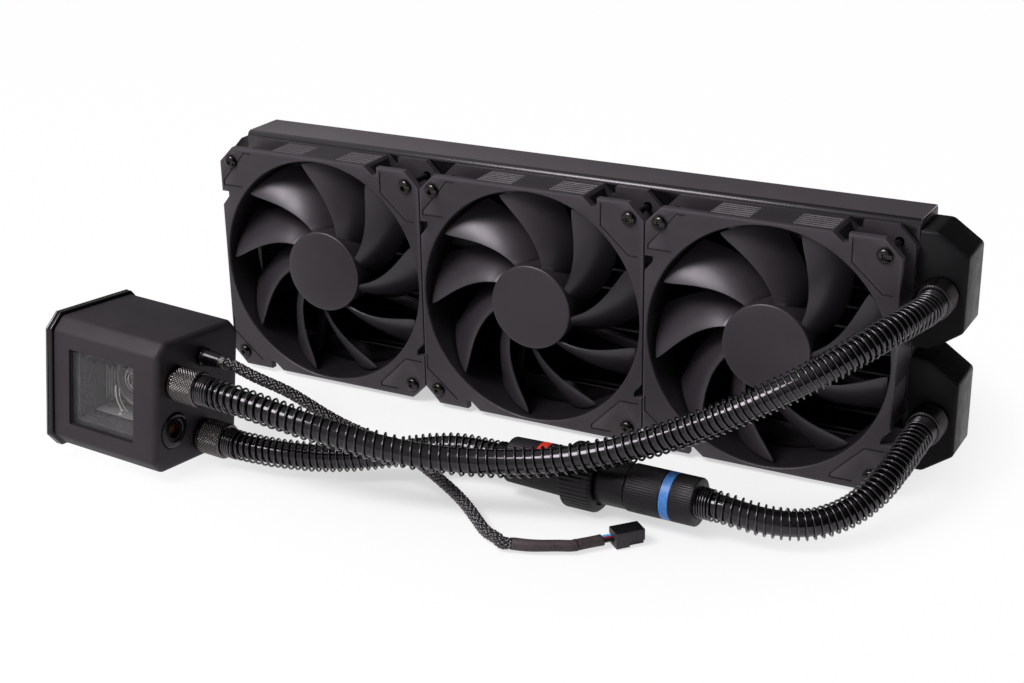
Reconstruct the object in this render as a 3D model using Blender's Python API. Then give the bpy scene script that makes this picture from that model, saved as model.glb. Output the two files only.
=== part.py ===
"""All in one liquid cooler for a processor: a radiator with three fans, standing on its long
edge, two hoses with a quick-release coupling, and the pump block lying beside it.

The radiator runs along X, the fans face -Y, Z is up and the floor is at Z = 0.
"""
import math

import bmesh
import bpy
import numpy as np
from mathutils import Euler, Matrix, Vector

MM = 0.001

# Running clearances.
TOUCH_GAP = 0.3 * MM
SCREW_CLEARANCE = 0.35 * MM
BLADE_TIP_GAP = 1.3 * MM
SHAFT_CLEARANCE = 0.35 * MM
MOUTH_CLEARANCE = 2.0 * MM

# Fans.
FAN_COUNT = 3
FAN_SIZE = 120.0 * MM
FAN_DEPTH = 25.0 * MM
FAN_HOLE_INSET = 7.5 * MM
FAN_FLANGE = 4.0 * MM
FAN_RIM_WALL = 2.2 * MM
FAN_MOUTH_FLARE = 0.8 * MM
FAN_DUCT_WALL = 1.6 * MM
FAN_CORNER_CUT = 8.0 * MM
FAN_EDGE_CHAMFER = 0.9 * MM
FAN_NOTCH_DEPTH = 4.0 * MM
FAN_NOTCH_FROM_CORNER = 26.5 * MM
FAN_NOTCH_SLANT = 4.9 * MM
FAN_NOTCH_FLOOR = 2.3 * MM
FAN_SIDE_BLOCK_HALF = 29.5 * MM
FAN_SIDE_BLOCK_SLANT = 3.0 * MM
MOTOR_BASE_RADIUS = 20.0 * MM
MOTOR_BASE_THICKNESS = 4.2 * MM
STRUT_WIDTH = 5.0 * MM
STRUT_THICKNESS = 3.4 * MM
STRUT_LEAN = math.radians(24.0)
HUB_RADIUS = 21.2 * MM
HUB_FRONT_RECESS = 1.0 * MM
HUB_EDGE_ROUND = 0.8 * MM
SHAFT_RADIUS = 2.0 * MM
SHAFT_LENGTH = 2.6 * MM
BLADE_COUNT = 9
BLADE_SWEEP = math.radians(33.5)
BLADE_SWEEP_POWER = 1.35
BLADE_CHORD_ROOT = math.radians(31.0)
BLADE_CHORD_TIP = math.radians(23.5)
BLADE_FRONT_RECESS = 3.0 * MM
BLADE_AXIAL_ROOT = 16.3 * MM
BLADE_AXIAL_TIP = 15.0 * MM
BLADE_THICKNESS_ROOT = 1.7 * MM
BLADE_THICKNESS_TIP = 1.1 * MM
BLADE_SPAN_STEPS = 5
BLADE_CHORD_STEPS = 3
ROTOR_REST_ANGLES = (math.radians(21.0), math.radians(27.5), math.radians(35.5))

# Radiator.
RADIATOR_DEPTH = 28.4 * MM
CHANNEL_RISE = 2.0 * MM
SHEET = 1.2 * MM
CHANNEL_LIP = 16.0 * MM
CHANNEL_BEND = 1.8 * MM
CORE_RECESS = 3.2 * MM
TUBE_COUNT = 12
TUBE_THICKNESS = 2.0 * MM
TUBE_PROUD = 0.9 * MM
HEADER_THICKNESS = 2.4 * MM
TANK_LENGTH = 22.0 * MM
TANK_FRONT_INSET = 0.4 * MM
TANK_BACK_INSET = 1.2 * MM
TANK_EDGE_INSET = 4.5 * MM
TANK_SPLIT = 4.8 * MM
TANK_CUT_LENGTH = 14.0 * MM
TANK_CUT_HEIGHT = 9.8 * MM
TANK_FLAT = 8.0 * MM
TANK_ROUND = 1.6 * MM
RETURN_TANK_LENGTH = 14.0 * MM

# Screws that hold the fans.
SCREW_SHANK_RADIUS = 1.5 * MM
SCREW_HEAD_RADIUS = 3.4 * MM
SCREW_HEAD_HEIGHT = 2.1 * MM
SCREW_TIP = 1.4 * MM

# Hoses, fittings and coupling.
HOSE_RADIUS = 5.25 * MM
FITTING_NECK_RADIUS = 5.0 * MM
FITTING_NECK_LENGTH = 2.2 * MM
FITTING_RING_RADIUS = 8.0 * MM
FITTING_RING_THICKNESS = 2.0 * MM
COLLAR_RADIUS = 8.6 * MM
COLLAR_LENGTH = 12.6 * MM
COLLAR_CHAMFER = 0.8 * MM
COLLAR_MOUTH_DEPTH = 1.6 * MM
COUPLING_START = Vector((25.5, -105.0, 15.2)) * MM
COUPLING_END = Vector((118.4, -107.4, 15.2)) * MM
SOCKET_RADIUS = 11.3 * MM
SOCKET_TAPER = 0.8 * MM
SOCKET_LENGTH = 30.5 * MM
BAND_WIDTH = 5.0 * MM
BAND_DEPTH = 0.7 * MM
RED_BAND_FROM_END = 11.4 * MM
BLUE_BAND_FROM_END = 15.4 * MM
NUT_RADIUS = 15.0 * MM
NUT_WIDTH = 15.6 * MM
NUT_RIBS = 20
NUT_RIB_DEPTH = 0.7 * MM
NUT_CHAMFER = 1.6 * MM
NECK_RADIUS = 8.6 * MM
BARREL_RADIUS = 10.4 * MM
BARREL_LENGTH = 14.0 * MM
SLEEVE_RADIUS = 10.8 * MM

# Pump block, in its own axes: X from the cold plate to the fittings, Y from the window to
# the back, Z up.
BLOCK_PLACE = Vector((-184.2, -176.2, 8.1)) * MM
BLOCK_TILT = Euler((math.radians(-5.58), math.radians(2.635), math.radians(-1.70)), "XYZ")
BLOCK_LENGTH = 61.9 * MM
BLOCK_WIDTH = 59.4 * MM
BLOCK_HEIGHT = 63.8 * MM
BLOCK_CUT = 6.0 * MM
BLOCK_ROUND = 3.0 * MM
WINDOW_FROM_PLATE = 9.2 * MM
WINDOW_LENGTH = 39.1 * MM
WINDOW_FROM_BOTTOM = 13.4 * MM
WINDOW_HEIGHT = 37.4 * MM
WINDOW_RECESS = 1.6 * MM
WINDOW_THICKNESS = 2.4 * MM
WINDOW_LEDGE = 1.6 * MM
RESERVOIR_DEPTH = 34.0 * MM
VOLUTE_RADIUS = 14.5 * MM
VOLUTE_DEPTH = 16.0 * MM
VOLUTE_RIM = 2.6 * MM
IMPELLER_RADIUS = 10.4 * MM
IMPELLER_VANES = 6
IMPELLER_HEIGHT = 5.0 * MM
IMPELLER_SHAFT_RADIUS = 1.6 * MM
PUMP_CENTRE_ALONG = 39.0 * MM
PUMP_CENTRE_UP = 34.5 * MM
FLANGE_THICKNESS = 2.3 * MM
FLANGE_PROUD = 1.5 * MM
BASE_PLATE_THICKNESS = 1.0 * MM
COLD_PLATE_SIZE = 46.0 * MM
COLD_PLATE_THICKNESS = 3.0 * MM
COLD_PLATE_CORNER = 4.0 * MM
PLATE_SCREW_SPACING = 50.0 * MM
UPPER_FITTING_FROM_WINDOW = 13.4 * MM
UPPER_FITTING_SHARE_UP = 0.6771
LOWER_FITTING_FROM_WINDOW = 33.9 * MM
LOWER_FITTING_SHARE_UP = 0.1818
PLUG_FROM_WINDOW = 12.8 * MM
PLUG_SHARE_UP = 0.3088
PLUG_HEAD_RADIUS = 8.6 * MM
PLUG_HEAD_THICKNESS = 3.4 * MM
PLUG_PROUD = 0.8 * MM
PLUG_SHANK_RADIUS = 5.8 * MM
PLUG_SHANK_LENGTH = 7.0 * MM
PLUG_SOCKET_RADIUS = 4.0 * MM
PLUG_SOCKET_DEPTH = 3.6 * MM
SEAL_SECTION = 1.4 * MM
GLAND_FROM_WINDOW = 31.8 * MM
GLAND_SHARE_UP = 0.8025
GLAND_RADIUS = 4.0 * MM
GLAND_LENGTH = 11.8 * MM
GLAND_TAPER = 0.9 * MM
GLAND_LIP = 0.6 * MM
GLAND_LIP_LENGTH = 2.4 * MM

# Cable.
CABLE_RADIUS = 2.85 * MM
TAIL_WIDTH = 5.6 * MM
TAIL_THICKNESS = 2.2 * MM
SHRINK_RADIUS = 2.75 * MM
WIRE_RADIUS = 0.75 * MM
WIRE_SPACING = 1.9 * MM
PLUG_BODY_LENGTH = 13.0 * MM
PLUG_BODY_WIDTH = 9.4 * MM
PLUG_BODY_HEIGHT = 5.8 * MM

# Hose and cable routes, as they lie.
SUPPLY_ROUTE = (
    (-67.2, -160.2, 41.8),
    (-32.4, -153.9, 34.4),
    (1.6, -143.8, 28.2),
    (35.6, -132.2, 27.4),
    (69.6, -121.8, 32.6),
    (102.6, -113.4, 44.7),
    (133.9, -104.8, 60.4),
    (162.2, -89.5, 76.5),
    (183.0, -64.0, 89.0),
)
RETURN_ROUTE = (
    (-77.1, -140.3, 11.4),
    (-51.6, -130.6, 10.7),
    (-27.5, -118.1, 12.9),
    (-2.6, -107.6, 16.0),
)
OUTLET_ROUTE = (
    (137.6, -107.0, 13.7),
    (155.3, -103.0, 11.5),
    (170.8, -93.5, 12.3),
    (182.0, -80.0, 17.2),
    (188.2, -64.3, 24.5),
)
CABLE_ROUTE = (
    (-87.3, -144.4, 49.9),
    (-69.2, -142.4, 44.4),
    (-52.5, -137.9, 34.6),
    (-36.3, -132.3, 26.2),
    (-19.4, -127.6, 19.0),
    (-1.8, -128.2, 11.0),
    (15.6, -134.8, 5.6),
    (30.5, -146.3, 3.6),
    (39.3, -153.1, 3.3),
    (46.0, -156.2, 3.3),
)
CABLE_SLEEVE_END = (53.0, -156.9, 3.3)
SHRINK_ROUTE = ((58.9, -155.3, 3.2), (65.6, -152.5, 3.2), (72.0, -149.2, 3.2))
SHRINK_END = (77.9, -145.5, 3.2)
TAIL_END = (85.8, -136.4, 3.2)
HOSE_STEP = 11.0 * MM
HOSE_LEAD = 10.0 * MM
CABLE_STEP = 5.0 * MM
CABLE_LEAD = 5.0 * MM

# Values that follow from the ones above.
FAN_HOLE_SPACING = FAN_SIZE - 2 * FAN_HOLE_INSET
FAN_PITCH = FAN_SIZE + TOUCH_GAP
FAN_CENTRE_Z = CHANNEL_RISE + FAN_SIZE / 2
FAN_BACK_Y = -RADIATOR_DEPTH / 2 - TOUCH_GAP
FAN_FRONT_Y = FAN_BACK_Y - FAN_DEPTH
BORE_RADIUS = FAN_SIZE / 2 - FAN_RIM_WALL
RADIATOR_LENGTH = FAN_COUNT * FAN_PITCH - TOUCH_GAP
RADIATOR_HEIGHT = FAN_SIZE + 2 * CHANNEL_RISE
RADIATOR_END = RADIATOR_LENGTH / 2
CORE_HALF_DEPTH = RADIATOR_DEPTH / 2 - CORE_RECESS
CORE_HALF_HEIGHT = RADIATOR_HEIGHT / 2 - SHEET - TOUCH_GAP
SCREW_HOLE_RADIUS = SCREW_SHANK_RADIUS + SCREW_CLEARANCE
UPPER_FITTING = (UPPER_FITTING_FROM_WINDOW, BLOCK_HEIGHT * UPPER_FITTING_SHARE_UP)
LOWER_FITTING = (LOWER_FITTING_FROM_WINDOW, BLOCK_HEIGHT * LOWER_FITTING_SHARE_UP)
PLUG_PLACE = (PLUG_FROM_WINDOW, BLOCK_HEIGHT * PLUG_SHARE_UP)
GLAND_PLACE = (GLAND_FROM_WINDOW, BLOCK_HEIGHT * GLAND_SHARE_UP)
FITTING_LENGTH = FITTING_NECK_LENGTH + FITTING_RING_THICKNESS + TOUCH_GAP + COLLAR_LENGTH


def clear_scene():
    for obj in list(bpy.data.objects):
        bpy.data.objects.remove(obj, do_unlink=True)


def material(name, colour, roughness, metallic=0.0, alpha=1.0):
    mat = bpy.data.materials.new(name)
    mat.use_nodes = True
    shader = mat.node_tree.nodes["Principled BSDF"]
    shader.inputs["Base Color"].default_value = (*colour, 1.0)
    shader.inputs["Roughness"].default_value = roughness
    shader.inputs["Metallic"].default_value = metallic
    shader.inputs["Alpha"].default_value = alpha
    mat.diffuse_color = (*colour, alpha)
    return mat


def finish_mesh(name, bm):
    bmesh.ops.recalc_face_normals(bm, faces=bm.faces)
    mesh = bpy.data.meshes.new(name)
    bm.to_mesh(mesh)
    bm.free()
    return mesh


def place(name, mesh, mat, matrix=None, parent=None, smooth=None):
    obj = bpy.data.objects.new(name, mesh)
    bpy.context.scene.collection.objects.link(obj)
    if not mesh.materials:
        mesh.materials.append(mat)
    if smooth is not None:
        mesh.shade_smooth()
        mesh.set_sharp_from_angle(angle=math.radians(smooth))
    if parent is not None:
        obj.parent = parent
    if matrix is not None:
        obj.matrix_local = matrix
    return obj


def empty(name, matrix, parent=None):
    obj = bpy.data.objects.new(name, None)
    bpy.context.scene.collection.objects.link(obj)
    obj.parent = parent
    obj.matrix_local = matrix
    return obj


def prism(outline, low, high):
    """A straight extrusion of a flat outline along its own Z."""
    bm = bmesh.new()
    base = [bm.verts.new((x, y, low)) for x, y in outline]
    face = bm.faces.new(base)
    top = bmesh.ops.extrude_face_region(bm, geom=[face])["geom"]
    lifted = [item for item in top if isinstance(item, bmesh.types.BMVert)]
    bmesh.ops.translate(bm, verts=lifted, vec=(0, 0, high - low))
    return bm


def revolve(profile, segments, ring=False, ribs=None):
    """Turns (radius, height) points round Z. A ring profile closes on itself.

    ribs is (count, depth, low, high): the surface points between those heights on the
    outside go in and out round the circle.
    """
    bm = bmesh.new()
    loops = []
    outermost = max(radius for radius, height in profile)
    for radius, height in profile:
        if radius < 1e-7:
            loops.append([bm.verts.new((0, 0, height))])
            continue
        loop = []
        for k in range(segments):
            r = radius
            if ribs and ribs[2] <= height <= ribs[3] and radius > outermost - 2.5 * ribs[1]:
                r = radius - ribs[1] * (0.5 - 0.5 * math.cos(2 * math.pi * ribs[0] * k / segments))
            angle = 2 * math.pi * k / segments
            loop.append(bm.verts.new((r * math.cos(angle), r * math.sin(angle), height)))
        loops.append(loop)
    pairs = list(zip(loops, loops[1:]))
    if ring:
        pairs.append((loops[-1], loops[0]))
    for low, high in pairs:
        for k in range(segments):
            n = (k + 1) % segments
            if len(low) == 1 and len(high) == 1:
                break
            if len(low) == 1:
                bm.faces.new((low[0], high[n], high[k]))
            elif len(high) == 1:
                bm.faces.new((low[k], low[n], high[0]))
            else:
                bm.faces.new((low[k], low[n], high[n], high[k]))
    if not ring:
        for loop in (loops[0], loops[-1]):
            if len(loop) > 1:
                bm.faces.new(loop)
    return bm


def box(size, centre):
    bm = bmesh.new()
    bmesh.ops.create_cube(bm, size=1.0)
    bmesh.ops.scale(bm, vec=size, verts=bm.verts)
    bmesh.ops.translate(bm, vec=centre, verts=bm.verts)
    return bm


def moved(bm, matrix):
    bmesh.ops.transform(bm, matrix=matrix, verts=bm.verts)
    return bm


def carve(bm, steps):
    """Runs exact Booleans one after the other and gives the resulting mesh as a bmesh."""
    target = bpy.data.objects.new("carve_target", finish_mesh("carve_target", bm))
    bpy.context.scene.collection.objects.link(target)
    helpers = []
    for number, (operation, tool) in enumerate(steps):
        helper = bpy.data.objects.new(f"carve_tool_{number}", finish_mesh(f"carve_tool_{number}", tool))
        helper.hide_render = True
        helper.display_type = "WIRE"
        bpy.context.scene.collection.objects.link(helper)
        helpers.append(helper)
        modifier = target.modifiers.new(f"step_{number}", "BOOLEAN")
        modifier.operation = operation
        modifier.solver = "EXACT"
        modifier.object = helper
    graph = bpy.context.evaluated_depsgraph_get()
    graph.update()
    evaluated = target.evaluated_get(graph)
    result = bmesh.new()
    result.from_mesh(evaluated.to_mesh())
    evaluated.to_mesh_clear()
    for obj in [target, *helpers]:
        mesh = obj.data
        bpy.data.objects.remove(obj, do_unlink=True)
        bpy.data.meshes.remove(mesh)
    bmesh.ops.remove_doubles(result, verts=result.verts, dist=1e-6)
    bmesh.ops.dissolve_degenerate(result, edges=result.edges, dist=1e-7)
    return result


def bevelled(bm, width, segments, chosen=None, angle=30.0):
    edges = [
        edge
        for edge in bm.edges
        if len(edge.link_faces) == 2
        and edge.calc_face_angle(0.0) > math.radians(angle)
        and (chosen is None or chosen(edge))
    ]
    bmesh.ops.bevel(bm, geom=edges, offset=width, segments=segments, profile=0.5, affect="EDGES")
    return bm


def axis_matrix(start, direction, up=Vector((0, 0, 1))):
    """Local Z runs along direction; local Y leans towards up."""
    z = Vector(direction).normalized()
    if abs(z.dot(up)) > 0.99:
        up = Vector((0, 1, 0))
    x = up.cross(z).normalized()
    y = z.cross(x)
    return Matrix.Translation(start) @ Matrix((x, y, z)).transposed().to_4x4()


def smooth_points(points, start_dir, end_dir, step, lead):
    """Reads evenly spaced points from a natural spline that runs straight along the given
    directions for the lead at both ends."""
    pts = [np.array(point, dtype=float) for point in points]
    first = pts[0] + np.array(start_dir, dtype=float) * lead
    route = [pts[0], first, *pts[1:]]
    if end_dir is not None:
        last = route[-1] - np.array(end_dir, dtype=float) * lead
        route = [*route[:-1], last, route[-1]]
    route = np.array(route)
    spans = np.sqrt(np.linalg.norm(np.diff(route, axis=0), axis=1))
    knots = np.concatenate([[0.0], np.cumsum(spans)])
    count = len(route)
    gaps = np.diff(knots)
    system = np.zeros((count, count))
    right = np.zeros((count, 3))
    system[0, 0] = system[-1, -1] = 1.0
    for k in range(1, count - 1):
        system[k, k - 1] = gaps[k - 1]
        system[k, k] = 2 * (gaps[k - 1] + gaps[k])
        system[k, k + 1] = gaps[k]
        right[k] = 6 * (
            (route[k + 1] - route[k]) / gaps[k] - (route[k] - route[k - 1]) / gaps[k - 1]
        )
    bend = np.linalg.solve(system, right)

    def at(value):
        k = min(max(int(np.searchsorted(knots, value)) - 1, 0), count - 2)
        h = gaps[k]
        a = (knots[k + 1] - value) / h
        b = (value - knots[k]) / h
        return (
            a * route[k]
            + b * route[k + 1]
            + ((a**3 - a) * bend[k] + (b**3 - b) * bend[k + 1]) * h * h / 6
        )

    dense = np.array([at(value) for value in np.linspace(0, knots[-1], 600)])
    run = np.concatenate([[0.0], np.cumsum(np.linalg.norm(np.diff(dense, axis=0), axis=1))])
    total = run[-1]
    steps = max(int(round(total / step)), 3)
    marks = np.linspace(0, total, steps + 1)
    spaced = [np.interp(marks, run, dense[:, axis]) for axis in range(3)]
    return [Vector(float(value) for value in point) for point in zip(*spaced)]


def tube(name, points, radius, mat, resolution):
    curve = bpy.data.curves.new(name, "CURVE")
    curve.dimensions = "3D"
    spline = curve.splines.new("POLY")
    spline.points.add(len(points) - 1)
    for node, point in zip(spline.points, points):
        node.co = (*point, 1.0)
    curve.bevel_depth = radius
    curve.bevel_resolution = resolution
    curve.use_fill_caps = True
    curve.materials.append(mat)
    obj = bpy.data.objects.new(name, curve)
    bpy.context.scene.collection.objects.link(obj)
    return obj


def mm_points(points):
    return [tuple(value * MM for value in point) for point in points]


def fan_outline():
    """A square with cut corners and one notch on each side, the same after a quarter turn."""
    half = FAN_SIZE / 2
    quarter = [
        (-half, half - FAN_CORNER_CUT),
        (-half + FAN_CORNER_CUT, half),
        (half - FAN_NOTCH_FROM_CORNER - FAN_NOTCH_SLANT, half),
        (half - FAN_NOTCH_FROM_CORNER, half - FAN_NOTCH_DEPTH),
        (half - FAN_NOTCH_FROM_CORNER + FAN_NOTCH_FLOOR, half - FAN_NOTCH_DEPTH),
        (half - FAN_NOTCH_FROM_CORNER + FAN_NOTCH_FLOOR, half),
    ]
    outline = []
    for turn in range(4):
        c, s = round(math.cos(-math.pi / 2 * turn)), round(math.sin(-math.pi / 2 * turn))
        outline += [(x * c - y * s, x * s + y * c) for x, y in quarter]
    return outline


def corner_pocket(turn):
    """The hollow between the two flanges at one corner, outside the round duct."""
    half = FAN_SIZE / 2
    duct = BORE_RADIUS + FAN_DUCT_WALL
    reach = FAN_SIDE_BLOCK_HALF + FAN_SIDE_BLOCK_SLANT
    start = math.acos(reach / duct)
    count = 6
    arc = [
        (-duct * math.cos(a), duct * math.sin(a))
        for a in np.linspace(math.pi / 2 - start, start, count)
    ]
    outer = half + 1 * MM
    outline = [(-outer, FAN_SIDE_BLOCK_HALF), *arc, (-FAN_SIDE_BLOCK_HALF, outer), (-outer, outer)]
    angle = math.pi / 2 * turn
    c, s = math.cos(angle), math.sin(angle)
    outline = [(x * c - y * s, x * s + y * c) for x, y in outline]
    return prism(outline, FAN_FLANGE, FAN_DEPTH - FAN_FLANGE)


def fan_frame_mesh():
    half = FAN_SIZE / 2
    flare = FAN_MOUTH_FLARE
    body = prism(fan_outline(), 0.0, FAN_DEPTH)
    bmesh.ops.recalc_face_normals(body, faces=body.faces)

    def front_or_back(edge):
        return abs(edge.verts[0].co.z - edge.verts[1].co.z) < 1e-6

    bevelled(body, FAN_EDGE_CHAMFER, 1, front_or_back)
    bore = revolve(
        [
            (BORE_RADIUS + flare, -1 * MM),
            (BORE_RADIUS + flare, 0.0),
            (BORE_RADIUS, 2 * flare),
            (BORE_RADIUS, FAN_DEPTH - 2 * flare),
            (BORE_RADIUS + flare, FAN_DEPTH),
            (BORE_RADIUS + flare, FAN_DEPTH + 1 * MM),
        ],
        36,
    )
    steps = [("DIFFERENCE", bore)]
    for turn in range(4):
        steps.append(("DIFFERENCE", corner_pocket(turn)))
    base = revolve(
        [
            (0.0, 0.0),
            (MOTOR_BASE_RADIUS, 0.0),
            (MOTOR_BASE_RADIUS, MOTOR_BASE_THICKNESS),
            (0.0, MOTOR_BASE_THICKNESS),
        ],
        24,
    )
    inner = MOTOR_BASE_RADIUS - 2 * MM
    outer = BORE_RADIUS + FAN_RIM_WALL * 0.45
    for arm in range(4):
        turn = math.radians(45 + 90 * arm)
        lean = Vector((outer * math.cos(STRUT_LEAN), outer * math.sin(STRUT_LEAN), 0.0))
        root = Vector((inner, 0.0, 0.0))
        run = lean - root
        side = Vector((-run.y, run.x, 0.0)).normalized() * STRUT_WIDTH / 2
        corners = [root - side, lean - side, lean + side, root + side]
        strut = prism([(p.x, p.y) for p in corners], 0.0, STRUT_THICKNESS)
        moved(strut, Matrix.Rotation(turn, 4, "Z"))
        steps.append(("UNION", strut))
    steps.append(("UNION", base))
    bearing = revolve(
        [
            (0.0, MOTOR_BASE_THICKNESS - SHAFT_LENGTH),
            (SHAFT_RADIUS + SHAFT_CLEARANCE, MOTOR_BASE_THICKNESS - SHAFT_LENGTH),
            (SHAFT_RADIUS + SHAFT_CLEARANCE, MOTOR_BASE_THICKNESS + 1 * MM),
            (0.0, MOTOR_BASE_THICKNESS + 1 * MM),
        ],
        12,
    )
    steps.append(("DIFFERENCE", bearing))
    for sx in (-1, 1):
        for sy in (-1, 1):
            hole = revolve(
                [
                    (0.0, -1 * MM),
                    (SCREW_HOLE_RADIUS, -1 * MM),
                    (SCREW_HOLE_RADIUS, FAN_DEPTH + 1 * MM),
                    (0.0, FAN_DEPTH + 1 * MM),
                ],
                10,
            )
            spot = (sx * FAN_HOLE_SPACING / 2, sy * FAN_HOLE_SPACING / 2, 0.0)
            steps.append(("DIFFERENCE", moved(hole, Matrix.Translation(spot))))
    return finish_mesh("fan_frame", carve(body, steps))


def blade_point(span, chord):
    """A point of the blade's middle surface. span runs from the hub to the tip, chord from
    the leading edge at the front to the trailing edge at the back."""
    tip = BORE_RADIUS - BLADE_TIP_GAP
    radius = HUB_RADIUS + span * (tip - HUB_RADIUS)
    inside = min(max(span, 0.0), 1.0)
    sweep = -BLADE_SWEEP * (1 - inside) ** BLADE_SWEEP_POWER
    width = BLADE_CHORD_ROOT + (BLADE_CHORD_TIP - BLADE_CHORD_ROOT) * inside
    drop = BLADE_AXIAL_ROOT + (BLADE_AXIAL_TIP - BLADE_AXIAL_ROOT) * inside
    angle = sweep - width * chord
    height = FAN_DEPTH - BLADE_FRONT_RECESS - drop * (0.6 * chord + 0.4 * chord * chord)
    return Vector((radius * math.cos(angle), radius * math.sin(angle), height))


def blade(turn):
    root = -1.2 * MM / (BORE_RADIUS - BLADE_TIP_GAP - HUB_RADIUS)
    spans = [root, 0.02, *[k / BLADE_SPAN_STEPS for k in range(1, BLADE_SPAN_STEPS + 1)]]
    chords = [k / BLADE_CHORD_STEPS for k in range(BLADE_CHORD_STEPS + 1)]
    bm = bmesh.new()
    sheets = {1: [], -1: []}
    for side in (1, -1):
        for span in spans:
            row = []
            for chord in chords:
                point = blade_point(span, chord)
                along = blade_point(span, chord + 0.01) - blade_point(span, chord - 0.01)
                out = blade_point(span + 0.01, chord) - blade_point(span - 0.01, chord)
                normal = along.cross(out).normalized()
                fade = 0.45 + 0.55 * math.sin(math.pi * (0.12 + 0.76 * chord))
                thick = BLADE_THICKNESS_ROOT + (BLADE_THICKNESS_TIP - BLADE_THICKNESS_ROOT) * max(span, 0)
                row.append(bm.verts.new(point + normal * side * fade * thick / 2))
            sheets[side].append(row)
    rows, cols = len(spans), len(chords)
    for side in (1, -1):
        grid = sheets[side]
        for i in range(rows - 1):
            for j in range(cols - 1):
                bm.faces.new((grid[i][j], grid[i][j + 1], grid[i + 1][j + 1], grid[i + 1][j]))
    rim = [(i, 0) for i in range(rows)]
    rim += [(rows - 1, j) for j in range(1, cols)]
    rim += [(i, cols - 1) for i in range(rows - 2, -1, -1)]
    rim += [(0, j) for j in range(cols - 2, 0, -1)]
    top, low = sheets[1], sheets[-1]
    for (i, j), (m, n) in zip(rim, rim[1:] + rim[:1]):
        bm.faces.new((top[i][j], top[m][n], low[m][n], low[i][j]))
    return moved(bm, Matrix.Rotation(turn, 4, "Z"))


def rotor_mesh():
    front = FAN_DEPTH - HUB_FRONT_RECESS
    back = MOTOR_BASE_THICKNESS + TOUCH_GAP
    foot = MOTOR_BASE_THICKNESS - SHAFT_LENGTH + TOUCH_GAP
    hub = revolve(
        [
            (0.0, foot),
            (SHAFT_RADIUS, foot),
            (SHAFT_RADIUS, back),
            (HUB_RADIUS, back),
            (HUB_RADIUS, front - HUB_EDGE_ROUND),
            (HUB_RADIUS - HUB_EDGE_ROUND * 0.3, front - HUB_EDGE_ROUND * 0.3),
            (HUB_RADIUS - HUB_EDGE_ROUND, front),
            (0.0, front),
        ],
        27,
    )
    steps = [("UNION", blade(2 * math.pi * k / BLADE_COUNT)) for k in range(BLADE_COUNT)]
    return finish_mesh("fan_rotor", carve(hub, steps))


def build_fans(mats):
    frame_mesh = fan_frame_mesh()
    wheel_mesh = rotor_mesh()
    facing = Matrix.Rotation(math.pi / 2, 4, "X")
    for number in range(FAN_COUNT):
        x = (number - (FAN_COUNT - 1) / 2) * FAN_PITCH
        seat = empty(
            f"fan_{number + 1}_axis",
            Matrix.Translation((x, FAN_BACK_Y, FAN_CENTRE_Z)) @ facing,
        )
        place(f"fan_{number + 1}_frame", frame_mesh, mats["fan_frame"], parent=seat, smooth=35)
        turn = Matrix.Rotation(ROTOR_REST_ANGLES[number % len(ROTOR_REST_ANGLES)], 4, "Z")
        place(f"fan_{number + 1}_rotor", wheel_mesh, mats["fan_rotor"], turn, seat, smooth=40)


def build_screws(mats):
    face = FAN_DEPTH + TOUCH_GAP
    tip = -TOUCH_GAP - SHEET - SCREW_TIP
    r, h = SCREW_HEAD_RADIUS, SCREW_HEAD_HEIGHT
    profile = [
        (0.0, tip),
        (SCREW_SHANK_RADIUS * 0.7, tip),
        (SCREW_SHANK_RADIUS, tip + 0.6 * MM),
        (SCREW_SHANK_RADIUS, face),
        (r, face),
        (r * 0.96, face + h * 0.45),
        (r * 0.62, face + h * 0.88),
        (0.0, face + h),
    ]
    mesh = finish_mesh("fan_screw", revolve(profile, 10))
    facing = Matrix.Rotation(math.pi / 2, 4, "X")
    spots = {"tl": (-1, 1), "tr": (1, 1), "bl": (-1, -1), "br": (1, -1)}
    for number in range(FAN_COUNT):
        x = (number - (FAN_COUNT - 1) / 2) * FAN_PITCH
        for tag, (sx, sz) in spots.items():
            spot = (
                x + sx * FAN_HOLE_SPACING / 2,
                FAN_BACK_Y,
                FAN_CENTRE_Z + sz * FAN_HOLE_SPACING / 2,
            )
            matrix = Matrix.Translation(spot) @ facing
            place(f"screw_{number + 1}_{tag}", mesh, mats["screw"], matrix, smooth=35)


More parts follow.
